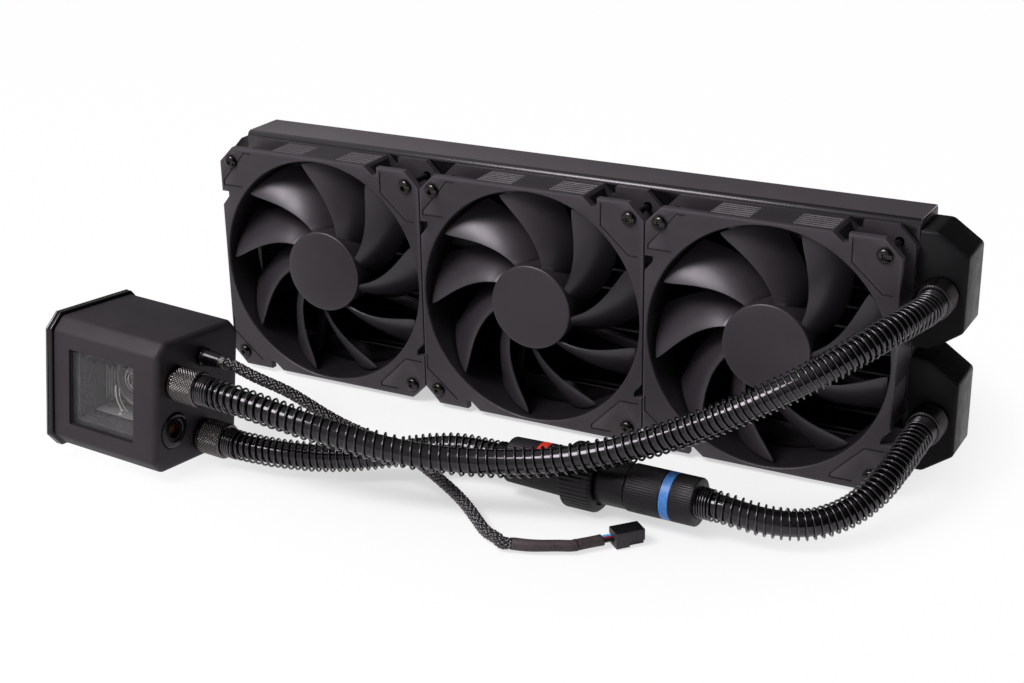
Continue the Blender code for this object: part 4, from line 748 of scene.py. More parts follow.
def ribbon_cuts(count):
    """Sections of the tail: three wires under one flat skin."""
    cuts = []
    for t in np.arange(count) / (count - 1):
        wide, thick = 2.75 - 0.2 * math.sin(3.1 * t), 1.75
        ring = []
        for a in np.linspace(0, 2 * math.pi, 32, endpoint=False):
            c, s = math.cos(a), math.sin(a)
            reach = 1.0 / (abs(c) ** 4 + abs(s) ** 4) ** 0.25
            ridge = 1.0 + 0.10 * math.cos(c * 3 * math.pi)
            ring.append((s * reach * thick * ridge, c * reach * wide))
        cuts.append(ring)
    return cuts


def build_cable():
    gland = on_face(GLAND)
    start = gland @ Vector((0, 0, GLAND_LENGTH + GAP))
    meet = (Vector(SHRINK_ROUTE[0]) - CABLE_SLEEVE_END).normalized()
    route = [tuple(start), *CABLE_ROUTE, tuple(CABLE_SLEEVE_END)]
    sleeve = smooth_points(route, axis_of(gland), meet, 1.5, 5.0)
    first = CABLE_SLEEVE_END + meet * GAP
    finish = Vector((TAIL_END.x - SHRINK_END.x, TAIL_END.y - SHRINK_END.y, 0.0)).normalized()
    route = [tuple(first), *SHRINK_ROUTE, tuple(SHRINK_END)]
    shrink = smooth_points(route, meet, finish, 1.0, 2.0)
    tail = straight(SHRINK_END, finish, np.linspace(0.3, TAIL_LENGTH, 13))
    rest = straight(SHRINK_END + finish * TAIL_LENGTH, finish, (1.3, 2.6, 3.9))
    whole = np.concatenate([sleeve, shrink, tail, rest])
    radii = [1.0] * len(sleeve) + [0.9] * len(shrink) + [0.45] * (len(tail) + len(rest))
    core = curve_tube("cable_core", whole, CORE_RADIUS, "core", 4, "cable_sleeve", radii)
    strands = sweep("cable_braid", braid_paths(sleeve), circle(FILAMENT, 6, 0.5))
    pieces = [put("cable_braid", strands, "braid", smooth=None)]
    for name, path, cuts, node in (
        ("cable_skin", shrink, skin_cuts(len(shrink)), "cable_heat_shrink"),
        ("cable_ribbon", tail, ribbon_cuts(len(tail)), "cable_tail"),
    ):
        mesh = sweep(name, [path], cuts)
        pieces.append(put(name, mesh, "shrink", smooth=None, node=node))
    side = Vector((-finish.y, finish.x, 0.0)).normalized()
    for k, look in enumerate(("wire_blue", "wire_red", "wire_black")):
        a = TAIL_END + finish * -1.2 + side * (1 - k) * WIRE_SPACING
        line = straight(a, finish, np.linspace(0, 6.2, 9))
        line[:, 2] += 0.25 * np.sin(np.linspace(0, math.pi, 9))
        mesh = sweep(look, [line], circle(WIRE_RADIUS, 12))
        name = f"cable_{look}"
        pieces.append(put(f"{name}_cover", mesh, look, smooth=None, node=name))
    pieces += build_connector(finish, side)


def build_connector(along, side):
    face = TAIL_END + along * (2 * GAP + 3.6)
    face.z = 0.2
    seat = placed(face, along, side, UP)
    length, low, high, height = 13.4, -5.6, 2.8, 7.4
    middle, width = (low + high) / 2, high - low
    body = bevelled(box((length, width, height), (length / 2, middle, height / 2)), 0.3, 2)
    mouth = box((6.4, width - 2.2, height - 2.4), (length - 2.4, middle, height * 0.5))
    key_slot = box((8.4, 2.4, 2.6), (length - 3.0, low + 0.4, 0.9))
    wire_side = box((3.0, 5.6, 2.6), (0.0, 0.0, 3.1))
    shell = carve(body, [mouth, key_slot, wire_side])
    pins = [
        bevelled(box((4.6, 0.8, 0.8), (length - 3.9, middle + y, height * 0.5)), 0.15, 1)
        for y in (-2.0, 0.0, 2.0)
    ]
    return [
        put("plug_shell", shell, "connector", seat, node="cable_connector"),
        put("plug_terminals", joined(pins), "pin", seat),
    ]


# ---- fans ----
BORE = 57.8
BORE_FLARE = BORE + 0.8
DUCT = BORE + 1.6
FLANGE = 4.0
PAD_LINES = (
    ((98.1, 118.0), (98.1, 107.5), (112.6, 94.6), (117.2, 94.6)),
    ((20.0, 117.8), (15.7, 117.8), (2.0, 101.6), (2.0, 99.6), (13.5, 99.6)),
    ((1.4, 25.9), (1.4, 18.6), (18.6, 4.1)),
    ((118.2, 20.8), (108.7, 20.8), (93.6, 5.4), (93.6, 3.6), (104.0, 3.6)),
)
SLOT_GROUPS = (-20.4, 18.2)
SLOT_HALF = 9.5
SLOT_COUNT, SLOT_FIRST, SLOT_PITCH = 6, 5.75, 2.72
STRUT_LEAN = math.radians(24.0)
STRUT_ROOT, STRUT_HALF, STRUT_THICKNESS = 18.0, 2.5, 3.4
MOTOR_BASE_RADIUS = 20.0
ROTOR_REST_ANGLES = (21.0, 27.5, 35.5)


def fan_outline():
    quarter = [(-60.0, 52.0), (-52.0, 60.0), (28.6, 60.0), (33.5, 56.0), (35.8, 56.0), (35.8, 60.0)]
    return [point for turn in range(4) for point in quarter_turned(quarter, -turn)]


def corner_pocket(turn):
    """The open space between the flanges outside the duct, at one corner."""
    start = math.acos(32.5 / DUCT)
    angles = np.linspace(QUARTER - start, start, 18)
    arc = [(-DUCT * math.cos(a), DUCT * math.sin(a)) for a in angles]
    outline = [(-61.0, 29.5), *arc, (-29.5, 61.0), (-61.0, 61.0)]
    return prism(quarter_turned(outline, turn), FLANGE, FAN_DEPTH - FLANGE)


def groove(points, width, low, high):
    """A mitred band along an open line, as a cutter."""
    spots = [Vector(point) for point in points]
    runs = [(b - a).normalized() for a, b in zip(spots, spots[1:])]
    left, right = [], []
    for here, before, after in zip(spots, [None, *runs], [*runs, None]):
        if before is None or after is None:
            run = after or before
            out = Vector((-run.y, run.x)) * width / 2
        else:
            run = (before + after).normalized()
            out = Vector((-run.y, run.x))
            out = out / max(0.4, out.dot(Vector((-after.y, after.x)))) * width / 2
        left.append(here + out)
        right.append(here - out)
    return prism([(p.x, p.y) for p in left + right[::-1]], low, high)


def frame_slots(turn):
    """The grooves across the outer side of one edge of the frame."""
    cuts = []
    for centre in SLOT_GROUPS:
        for k in range(SLOT_COUNT):
            low = SLOT_FIRST + SLOT_PITCH * k
            outline = [(low, 60.3), (low + 0.85, 59.35), (low + 1.75, 59.35), (low + 1.9, 60.3)]
            cut = prism(outline, -SLOT_HALF, SLOT_HALF)
            moved(cut, Matrix(((0, 0, 1, centre), (0, 1, 0, 0), (1, 0, 0, 0), (0, 0, 0, 1))))
            cuts.append(moved(cut, Matrix.Rotation(QUARTER * turn, 4, "Z")))
    return cuts


def frame_strut(arm):
    far = Vector((math.cos(STRUT_LEAN), math.sin(STRUT_LEAN), 0.0)) * (BORE + 1.0)
    root = Vector((STRUT_ROOT, 0.0, 0.0))
    run = far - root
    side = Vector((-run.y, run.x, 0.0)).normalized() * STRUT_HALF
    corners = [(p.x, p.y) for p in (root - side, far - side, far + side, root + side)]
    bar = prism(corners, 0.0, STRUT_THICKNESS)
    bevelled(bar, 0.6, 2, lambda edge: edge.calc_length() > 20)
    return moved(bar, Matrix.Rotation(math.radians(45 + 90 * arm), 4, "Z"))


def screw_holes():
    cuts = []
    for x in (-HOLE_FROM_CENTRE, HOLE_FROM_CENTRE):
        for y in (-HOLE_FROM_CENTRE, HOLE_FROM_CENTRE):
            spot = Matrix.Translation((x, y, 0.0))
            cuts.append(moved(cylinder(2.2, -1.0, 26.0, 28), spot))
            cuts.append(moved(cylinder(3.9, FAN_DEPTH - 0.25, 26.0, 36), spot))
    return cuts


def fan_frame_mesh():
    top = FAN_DEPTH
    body = bevelled(prism(fan_outline(), 0.0, top), 0.9, 2, lambda edge: span_along(edge, 2) < 1e-4)
    bore = [(BORE_FLARE, -1.0), (BORE_FLARE, 0.0), (BORE + 0.12, 0.95), (BORE, 1.6)]
    bore += [(BORE, top - 1.6), (BORE + 0.12, top - 0.95), (BORE + 0.42, top - 0.35)]
    bore += [(BORE_FLARE, top), (BORE_FLARE, top + 1.0)]
    lines = [
        groove([(x - 60, y - 60) for x, y in line], 0.8, top - 0.6, top + 1) for line in PAD_LINES
    ]
    slots = [cut for turn in range(4) for cut in frame_slots(turn)]
    base = [(0.0, 0.0), (MOTOR_BASE_RADIUS, 0.0), (MOTOR_BASE_RADIUS, 4.2), (0.0, 4.2)]
    steps = [revolve(bore, 120), *(corner_pocket(turn) for turn in range(4))]
    steps += [joined(lines), joined(slots)]
    steps += [("UNION", frame_strut(arm)) for arm in range(4)]
    steps.append(("UNION", revolve(rounded(base, 0.7), 72)))
    steps += [cylinder(2.35, 1.6, 6.0, 24), *screw_holes()]
    mesh = in_metres("fan_frame", carve(body, steps))
    mesh.materials.append(MATS["frame"])
    mesh.materials.append(MATS["duct"])
    # Faces inside the bore take the darker duct colour: painted shade.
    for face in mesh.polygons:
        middle = face.center
        inside = math.hypot(middle.x, middle.y) < (BORE + 0.3) * MM
        if inside and middle.z < (top - 0.6) * MM:
            face.material_index = 1
    return mesh


HUB_RADIUS = 21.2
HUB_ROUND = 0.9
BLADE_COUNT = 9
BLADE_TIP = BORE - 1.3


def blade_point(span, chord):
    radius = HUB_RADIUS + span * (BLADE_TIP - HUB_RADIUS)
    inside = min(max(span, 0.0), 1.0)
    sweep_back = -math.radians(33.5) * (1 - inside) ** 1.35
    width = math.radians(31.0 - 7.5 * inside)
    drop = 16.3 - 1.3 * inside
    angle = sweep_back - width * chord
    height = FAN_DEPTH - 3.0 - drop * (0.6 * chord + 0.4 * chord * chord)
    return Vector((radius * math.cos(angle), radius * math.sin(angle), height))


def blade():
    """A swept blade with a thin rim, a root fillet and a thinned tip. It starts in the hub."""
    spans = [-0.034, *np.linspace(0.0, 1.0, 25)]
    chords = 0.5 - 0.5 * np.cos(np.linspace(0, math.pi, 17))
    bm = bmesh.new()
    sheets = {1: [], -1: []}
    for side, sheet in sheets.items():
        for span in spans:
            row = []
            for chord in chords:
                point = blade_point(span, chord)
                along = blade_point(span, chord + 0.01) - blade_point(span, chord - 0.01)
                out = blade_point(span + 0.01, chord) - blade_point(span - 0.01, chord)
                normal = along.cross(out).normalized()
                fade = 0.30 + 0.70 * math.sin(math.pi * (0.05 + 0.90 * chord)) ** 0.7
                inside = min(max(span, 0.0), 1.0)
                thick = 1.7 - 0.6 * inside + 0.9 * max(0.0, 0.06 - inside) / 0.06
                thick *= 1.0 - 0.5 * max(0.0, inside - 0.985) / 0.015
                row.append(bm.verts.new(point + normal * side * fade * thick / 2))
            sheet.append(row)
    rows, cols = len(spans), len(chords)
    for grid in sheets.values():
        for i in range(rows - 1):
            for j in range(cols - 1):
                bm.faces.new((grid[i][j], grid[i][j + 1], grid[i + 1][j + 1], grid[i + 1][j]))
    rim = [(i, 0) for i in range(rows)]
    rim += [(rows - 1, j) for j in range(1, cols)]
    rim += [(i, cols - 1) for i in range(rows - 2, -1, -1)]
    rim += [(0, j) for j in range(cols - 2, 0, -1)]
    top, low = sheets[1], sheets[-1]
    for (i, j), (m, n) in zip(rim, rim[1:] + rim[:1]):
        bm.faces.new((top[i][j], top[m][n], low[m][n], low[i][j]))
    return bm


def rotor_mesh():
    front = FAN_DEPTH - 1.0
    edge = [(HUB_RADIUS, 4.5), (HUB_RADIUS, front - HUB_ROUND)]
    for a in (0.5, 1.0, 1.35, 1.571):
        inwards, down = HUB_ROUND * (1 - math.cos(a)), HUB_ROUND * (1 - math.sin(a))
        edge.append((HUB_RADIUS - inwards, front - down))
    profile = [(0.0, 1.9), (2.0, 1.9), (2.0, 4.5), *edge, (HUB_RADIUS - 3.0, front), (0.0, front)]
    parts = [revolve(profile, 108)]
    for k in range(BLADE_COUNT):
        parts.append(moved(blade(), Matrix.Rotation(2 * math.pi * k / BLADE_COUNT, 4, "Z")))
    return in_metres("fan_rotor", joined(parts))


def screw_mesh():
    head = [(3.4, 0.0), (3.42, 0.55), (3.3, 1.0), (2.95, 1.42), (2.3, 1.78), (1.4, 2.0), (0.0, 2.1)]
    seat = FAN_DEPTH + GAP
    profile = [(0.0, -2.9), (1.05, -2.9), (1.5, -2.3), (1.5, seat)]
    profile += [(radius, seat + height) for radius, height in head]
    cross = []
    for turn in (0.0, QUARTER):
        arm = box((3.5, 0.72, 2.2), (0, 0, seat + 2.0))
        for vert in arm.verts:
            if vert.co.z < seat + 1.5:
                vert.co.x *= 0.45
        cross.append(moved(arm, Matrix.Rotation(turn + 0.5, 4, "Z")))
    return in_metres("fan_screw", carve(revolve(profile, 40), cross))


def build_fans():
    frame_mesh, wheel_mesh, screw = fan_frame_mesh(), rotor_mesh(), screw_mesh()
    corners = {"tl": (-1, 1), "tr": (1, 1), "bl": (-1, -1), "br": (1, -1)}
    for number, angle in enumerate(ROTOR_REST_ANGLES):
        tag = number + 1
        place = Matrix.Translation(((number - 1) * FAN_PITCH, FAN_BACK_Y, FAN_CENTRE_Z))
        seat = place @ UPRIGHT
        put(f"fan_{tag}_shroud", frame_mesh, "frame", seat, 28, f"fan_{tag}_frame")
        wheel = wheel_mesh.copy()
        wheel.transform(Matrix.Rotation(math.radians(angle), 4, "Z"))
        put(f"fan_{tag}_wheel", wheel, "rotor", seat, 40, f"fan_{tag}_rotor",
            f"fan_rotor_{tag}")
        for k, (corner, (x, y)) in enumerate(corners.items()):
            spin = Matrix.Rotation(0.4 + 1.9 * (k + 4 * number), 4, "Z")
            spot = Matrix.Translation((x * HOLE_FROM_CENTRE, y * HOLE_FROM_CENTRE, 0.0))
            put(f"bolt_{tag}_{corner}", screw, "screw", seat @ spot @ spin,
                node=f"screw_{tag}_{corner}")


# ---- radiator ----
SHEET = 1.2
CHANNEL_LIP = 16.0
CHANNEL_BEND = 2.9
CORE_LOW, CORE_HIGH = 1.5, 122.5
CORE_END = 177.6
TUBE_COUNT = 12
TUBE_PITCH = (CORE_HIGH - CORE_LOW) / TUBE_COUNT
FIN_STEP, FIN_HALF_THICKNESS, FIN_HALF_DEPTH = 1.27, 0.09, 10.1
TANK_CUT_ALONG, TANK_CUT_UP = 14.0, 9.8


def bend_points(reach, drop, bend, steps):
    """One lip's end and the round bend above it, then the same on the other side."""
    half = [
        (reach + bend * (1 - math.cos(a)), drop - bend * (1 - math.sin(a)))
        for a in np.linspace(0, QUARTER, steps)
    ]
    half.insert(0, (reach, -CHANNEL_LIP))
    return half + [(-y, z) for y, z in reversed(half)]


def channel_mesh(flipped):
    outer = bend_points(-RADIATOR_HALF, 0.0, CHANNEL_BEND, 14)
    inner = bend_points(-RADIATOR_HALF + SHEET, -SHEET, CHANNEL_BEND - SHEET, 4)
    bm = moved(prism(outer + inner[::-1], -RADIATOR_END, RADIATOR_END), ALONG_X)
    ends = [edge for edge in bm.edges if span_along(edge, 0) < 1e-4]
    bmesh.ops.bevel(bm, geom=ends, offset=0.25, segments=2, profile=0.5, affect="EDGES")
    moved(bm, Matrix.Translation((0, 0, RADIATOR_TOP)))
    holes = []
    for number in (-1, 0, 1):
        for side in (-1, 1):
            for face in (-1, 1):
                x = number * FAN_PITCH + side * HOLE_FROM_CENTRE
                spot = Matrix.Translation((x, face * RADIATOR_HALF, 114.5))
                holes.append(moved(cylinder(1.95, -2.6, 2.6, 24), spot @ UPRIGHT))
    bm = carve(bm, [joined(holes)])
    if flipped:
        upside_down = Matrix.Scale(-1, 4, (0, 0, 1))
        moved(bm, Matrix.Translation((0, 0, RADIATOR_TOP)) @ upside_down)
    return bm


def put_tank(name, outline, inner, node):
    bm = prism(outline, -13.8, 13.0)
    moved(bm, Matrix(((1, 0, 0, 0), (0, 0, 1, 0), (0, 1, 0, 0), (0, 0, 0, 1))))

    def away(edge):
        return not all(abs(vert.co.x - inner) < 1e-3 for vert in edge.verts)

    put(name, bevelled(bm, 1.6, 5, away, 15.0), "tank", smooth=25, node=node)


def tube_bars():
    tubes = []
    for k in range(TUBE_COUNT):
        middle = CORE_LOW + TUBE_PITCH * (k + 0.5)
        ring = []
        for side in (1, -1):
            for a in np.linspace(-QUARTER, QUARTER, 7):
                ring.append((side * (10.0 + math.cos(a)), middle + side * math.sin(a)))
        tubes.append(moved(prism(ring, -CORE_END, CORE_END), ALONG_X))
    return joined(tubes)


def fin_mesh():
    """Zigzag strips between the tubes, as one mesh in metres."""
    verts, faces = [], []
    thick, deep = FIN_HALF_THICKNESS, FIN_HALF_DEPTH
    corners = ((-deep, -thick), (-deep, thick), (deep, thick), (deep, -thick))
    count = int(2 * CORE_END / FIN_STEP)
    levels = [(CORE_LOW, CORE_LOW + TUBE_PITCH / 2 - 1.0)]
    for k in range(TUBE_COUNT - 1):
        below, above = CORE_LOW + TUBE_PITCH * (k + 0.5), CORE_LOW + TUBE_PITCH * (k + 1.5)
        levels.append((below + 1.0, above - 1.0))
    levels.append((CORE_HIGH - TUBE_PITCH / 2 + 1.0, CORE_HIGH))
    for row, (bottom, top) in enumerate(levels):
        faces += tube_faces(len(verts), count + 1, len(corners))
        for k in range(count + 1):
            x = -CORE_END + 0.2 + (2 * CORE_END - 0.4) * k / count
            z = (bottom + 0.03) if (k + row) % 2 else (top - 0.03)
            verts += [(x * MM + shift * MM, y * MM, z * MM) for y, shift in corners]
    mesh = bpy.data.meshes.new("core_fins")
    mesh.from_pydata(verts, [], faces)
    return mesh


def build_radiator():
    for tag, node in (("top", "radiator_channel_top"), ("bottom", "radiator_channel_bottom")):
        channel = channel_mesh(tag == "bottom")
        put(f"plate_{tag}", channel, "channel", smooth=25, node=node)
    put("core_tubes", tube_bars(), "tube", node="radiator_core")
    put("core_fins", fin_mesh(), "fin", smooth=None, node="radiator_core")
    inner, outer = RADIATOR_END + GAP, RADIATOR_END + GAP + 22.0
    bend = outer - TANK_CUT_ALONG
    for tag, (low, high) in TANK_LEVELS.items():
        outline = [(inner, low), (bend, low), (outer, low + TANK_CUT_UP)]
        outline += [(outer, high - TANK_CUT_UP), (bend, high), (inner, high)]
        put_tank(f"tank_{tag}", outline, inner, f"end_tank_{tag}")
    inner, outer = -RADIATOR_END - GAP, -RADIATOR_END - GAP - 14.0
    low, high = TANK_LEVELS["lower"][0], TANK_LEVELS["upper"][1]
    bend = outer + TANK_CUT_ALONG * 0.65
    outline = [(inner, low), (inner, high), (bend, high), (outer, high - TANK_CUT_UP)]
    outline += [(outer, low + TANK_CUT_UP), (bend, low)]
    put_tank("tank_return", outline, inner, "return_tank")


# ---- fittings ----
COLLAR_RADIUS = 8.6
COLLAR_START, COLLAR_END = 2.6, 15.2
MOUTH_RADIUS = 7.25


def knurl(radius, height, angle, count=36, pitch=1.44, depth=0.5):
    """Two sets of slanted grooves that cross in diamonds."""
    u = angle * count / (2 * math.pi) + height / pitch
    v = angle * count / (2 * math.pi) - height / pitch
    ridge_u = abs((u % 1.0) - 0.5) * 2
    ridge_v = abs((v % 1.0) - 0.5) * 2
    return radius - depth * (1.0 - min(ridge_u, ridge_v) ** 0.8)


def collar_mesh():
    start, end, r = COLLAR_START, COLLAR_END, COLLAR_RADIUS
    profile = [(0.0, 4.8), (5.3, 4.8), (5.3, start), (r - 0.9, start), (r - 0.25, start + 0.35)]
    profile += [(r, height) for height in np.linspace(start + 0.9, end - 0.9, 61)]
    profile += [(r - 0.25, end - 0.35), (r - 0.9, end), (MOUTH_RADIUS, end)]
    profile += [(MOUTH_RADIUS, end - 1.6), (0.0, end - 1.6)]

    def shape(radius, height, angle):
        return knurl(radius, height, angle) if abs(radius - r) < 1e-6 else radius

    return in_metres("collar", revolve(profile, 288, shape=shape))


def build_fittings():
    profile = [(0.0, GAP), (8.0, GAP), (8.0, 2.3), (5.0, 2.3), (5.0, 4.5), (0.0, 4.5)]
    base = in_metres("fitting_ring", revolve(rounded(profile, 0.4), 64))
    collars = {"collar_bright": collar_mesh(), "collar_dark": collar_mesh()}
    for tag, seat in SEATS.items():
        put(f"ring_{tag}", base, "fitting", seat, 35, f"fitting_base_{tag}")
        look = "collar_bright" if tag.startswith("block") else "collar_dark"
        put(f"knurl_{tag}", collars[look], look, seat, 50, f"collar_{tag}")


# ---- coupling ----
SOCKET_START_RADIUS, SOCKET_RADIUS, SOCKET_LENGTH = 10.5, 11.3, 30.5
MARK_LOW, MARK_HIGH, MARK_STEPS = 15.0, 19.4, 16
MARK_FROM, MARK_ANGLE = 50, 84
NUT_LOW, NUT_HIGH, NUT_RADIUS = 30.8, 46.4, 15.0
NECK_RADIUS, BARREL_RADIUS, SLEEVE_RADIUS = 8.6, 10.4, 10.8
BARREL_LOW, BARREL_HIGH = 46.7, 60.7
BAND_FROM_END, BAND_WIDTH = 15.4, 5.0


def ribbed(count, depth, zones):
    def shape(radius, height, angle):
        for low, high in zones:
            if low < height < high and radius > 9.0:
                return radius - depth * (0.5 - 0.5 * math.cos(count * angle))
        return radius

    return shape


def socket_radius(height):
    grown = SOCKET_RADIUS - SOCKET_START_RADIUS
    return SOCKET_START_RADIUS + grown * height / SOCKET_LENGTH


def put_turned(name, bm, look, node, body="cooler"):
    put(name, bm, look, COUPLING, 35, node, body)


def mark_sector():
    """The red mark: a sector that lies on the socket's upper side."""
    sector = bmesh.new()
    spots = []
    ring = ((-0.3, MARK_LOW), (0.08, MARK_LOW), (0.08, MARK_HIGH), (-0.3, MARK_HIGH))
    for k in range(MARK_STEPS + 1):
        angle = math.radians(MARK_FROM + MARK_ANGLE * k / MARK_STEPS)
        for proud, height in ring:
            r = socket_radius(height) + proud
            spots.append(sector.verts.new((r * math.cos(angle), r * math.sin(angle), height)))
    for face in tube_faces(0, MARK_STEPS + 1, len(ring)):
        sector.faces.new([spots[i] for i in face])
    return sector


def build_coupling():
    r, end = SOCKET_START_RADIUS, SOCKET_LENGTH
    profile = [(0.0, 1.6), (MOUTH_RADIUS, 1.6), (MOUTH_RADIUS, 0.25), (7.5, 0.0), (r - 0.8, 0.0)]
    profile += [(r - 0.2, 0.25), (r, 0.8), (socket_radius(1.4), 1.4), (socket_radius(29.4), 29.4)]
    r = SOCKET_RADIUS
    profile += [(r, end - 0.6), (r, end - 0.2), (r - 0.2, end), (0.0, end)]
    shell = revolve(profile, 280, shape=ribbed(56, 0.26, [(1.2, 29.6)]))
    put_turned("socket_shell", shell, "coupling", "coupling_socket")
    put("mark_red", mark_sector(), "red", COUPLING, node="band_red")

    first, end, r = NUT_LOW + 0.8, NUT_HIGH, NUT_RADIUS
    ring = [(8.95, first), (14.7, first), (r, first + 0.35), (r, first + 0.6), (r, end - 1.5)]
    ring += [(14.8, end - 1.0), (13.9, end - 0.15), (13.5, end), (11.4, end), (11.2, end - 1.2)]
    ring.append((8.95, end - 1.2))
    shell = revolve(ring, 315, True, ribbed(45, 0.3, [(first + 0.1, end - 0.5)]))
    put_turned("nut_shell", shell, "barrel", "coupling_nut", "nut")

    start, end, r = BARREL_LOW, BARREL_HIGH, BARREL_RADIUS
    profile = [(0.0, NUT_LOW), (NECK_RADIUS, NUT_LOW), (NECK_RADIUS, start), (10.0, start)]
    profile += [(r, start + 0.4), (r, end - 0.3), (10.1, end), (0.0, end)]
    put_turned("barrel_shell", revolve(profile, 96), "barrel", "coupling_barrel")

    start, end, r = BARREL_HIGH + GAP, COUPLING_LENGTH, SLEEVE_RADIUS
    high = end - BAND_FROM_END + BAND_WIDTH
    low = high - BAND_WIDTH
    profile = [(0.0, start), (r - 0.5, start), (r - 0.1, start + 0.15), (r, start + 0.5)]
    profile += [(r, start + 1.0), (r, low - 0.6), (r, low - 0.3), (r, low), (r - 0.7, low)]
    profile += [(r - 0.7, high), (r, high), (r, high + 0.3), (r, high + 0.6), (r, end - 1.2)]
    profile += [(r, end - 0.6), (r - 0.2, end - 0.15), (r - 0.6, end), (MOUTH_RADIUS, end)]
    profile += [(MOUTH_RADIUS, end - 1.6), (0.0, end - 1.6)]
    zones = [(start + 0.8, low - 0.4), (high + 0.4, end - 0.9)]
    shell = revolve(profile, 240, shape=ribbed(60, 0.24, zones))
    put_turned("sleeve_shell", shell, "coupling", "coupling_sleeve")
    ring = [(r - 0.4, low + GAP), (r - 0.2, low + GAP), (r, low + 0.5), (r, high - 0.5)]
    ring += [(r - 0.2, high - GAP), (r - 0.4, high - GAP)]
    put_turned("mark_blue", revolve(ring, 120, True), "blue", "band_blue")


# ---- pump block ----
BLOCK_CUT = 6.0
PLATE_PROUD = 1.5
WINDOW = (9.2, 48.3, 13.4, 50.8)
COLD_PLATE_HALF, COLD_PLATE_CUT = 23.0, 4.0
# Pale wire arcs that paint highlights on the clear volute's rim. Centre x, y and z, radius, wire
# radius, and first and last angle.
VOLUTE_HIGHLIGHT_ARCS = (
    (33.5, 19.0, 28.0, 12.6, 0.5, 168, 300),
    (33.5, 19.6, 28.0, 11.0, 0.32, 172, 296),
    (32.5, 19.0, 35.5, 4.0, 0.28, 20, 330),
    (32.5, 20.0, 35.5, 6.6, 0.22, 60, 240),
)
PLUG_SUNK = 4.6


def octagon(grow=0.0):
    """The block's section seen along it, grown on every side."""
    w, h, c, g = BLOCK_WIDTH, BLOCK_HEIGHT, BLOCK_CUT, grow
    k = g * math.tan(math.pi / 8)
    outline = [(-g, c - k), (-g, h - c + k), (c - k, h + g), (w - c + k, h + g)]
    outline += [(w + g, h - c + k), (w + g, c - k), (w - c + k, -g), (c - k, -g)]
    return outline


def round_hole(radius, depth, spot):
    place = Matrix.Translation((BLOCK_LENGTH, *spot)) @ Matrix.Rotation(QUARTER, 4, "Y")
    return moved(cylinder(radius, -depth, 1.0, 48), place)


def window_box(margin, y0, y1):
    x0, x1, z0, z1 = WINDOW
    size = (x1 - x0 + 2 * margin, y1 - y0, z1 - z0 + 2 * margin)
    return box(size, ((x0 + x1) / 2, (y0 + y1) / 2, (z0 + z1) / 2))


def build_housing():
    bm = moved(prism(octagon(), 0.0, BLOCK_LENGTH), ALONG_X)
    bevelled(bm, 1.3, 3, lambda edge: span_along(edge, 0) > 30)

    def fitting_side(edge):
        return all(abs(vert.co.x - BLOCK_LENGTH) < 1e-3 for vert in edge.verts)

    bevelled(bm, 3.0, 6, fitting_side)
    opening = bevelled(window_box(0.0, -1.0, 4.0), 0.9, 3, lambda edge: span_along(edge, 1) > 2)
    cuts = [opening, window_box(-1.6, 1.6, 38.3)]
    cuts += [round_hole(8.95, 4.6, PLUG), round_hole(6.15, 11.6, PLUG)]
    put("block_shell", carve(bm, cuts), "housing", BLOCK, 26, "pump_housing")


def build_window():
    pane = bevelled(window_box(-0.45, 1.75, 3.9), 0.15, 2)
    put("window_pane", pane, "pane", BLOCK, node="pump_window")
    strip = carve(window_box(-0.02, 1.2, 1.75), [window_box(-0.75, 1.0, 2.0)])
    put("window_seal", strip, "gasket", BLOCK)
    walls = carve(window_box(-1.65, 4.3, 38.2), [window_box(-2.7, 3.0, 37.0)])
    put("reservoir_walls", walls, "liner", BLOCK)
    for k, (x, y, z, radius, thick, start, stop) in enumerate(VOLUTE_HIGHLIGHT_ARCS):
        turns = np.radians(np.linspace(start, stop, 60))
        spots = [x + radius * np.cos(turns), np.full(60, y), z + radius * np.sin(turns)]
        arc = sweep("arc", [np.stack(spots, axis=1)], circle(thick, 10))
        put(f"volute_highlight_arc_{k + 1}", arc, "rim_highlight", BLOCK, 40)
    ribs = []
    for k in range(4):
        bar = box((0.5, 1.0, 17.0 - k % 2 * 3), (15.0 + 1.6 * k, 19.5, 31.0))
        ribs.append(bevelled(bar, 0.15, 2))
    shelf = bevelled(box((33.0, 12.0, 0.9), (30.5, 19.0, 18.4)), 0.3, 2)
    put("volute_ribs", joined(ribs), "volute", BLOCK)
    put("inner_shelf", shelf, "volute", BLOCK)


def build_plates():
    corners = [(COLD_PLATE_HALF, COLD_PLATE_HALF - COLD_PLATE_CUT)]
    corners.append(corners[0][::-1])
    middle_y, middle_z = BLOCK_WIDTH / 2, BLOCK_HEIGHT / 2
    cold = [
        (middle_y + y, middle_z + z) for turn in range(4) for y, z in quarter_turned(corners, turn)
    ]
    for name, outline, low, high, width, steps, look, slot, node in (
        ("flange_shell", octagon(PLATE_PROUD), -2.6, -0.3, 0.7, 3, "flange", "flange_gloss",
         "base_flange"),
        ("plate_shell", octagon(PLATE_PROUD), -3.9, -2.9, 0.25, 2, "base", "plate_metal",
         "base_plate"),
        ("cold_face", cold, -7.2, -4.2, 0.5, 3, "copper", "copper", "cold_plate"),
    ):
        plate = bevelled(moved(prism(outline, low, high), ALONG_X), width, steps)
        put(name, plate, look, BLOCK, node=node)


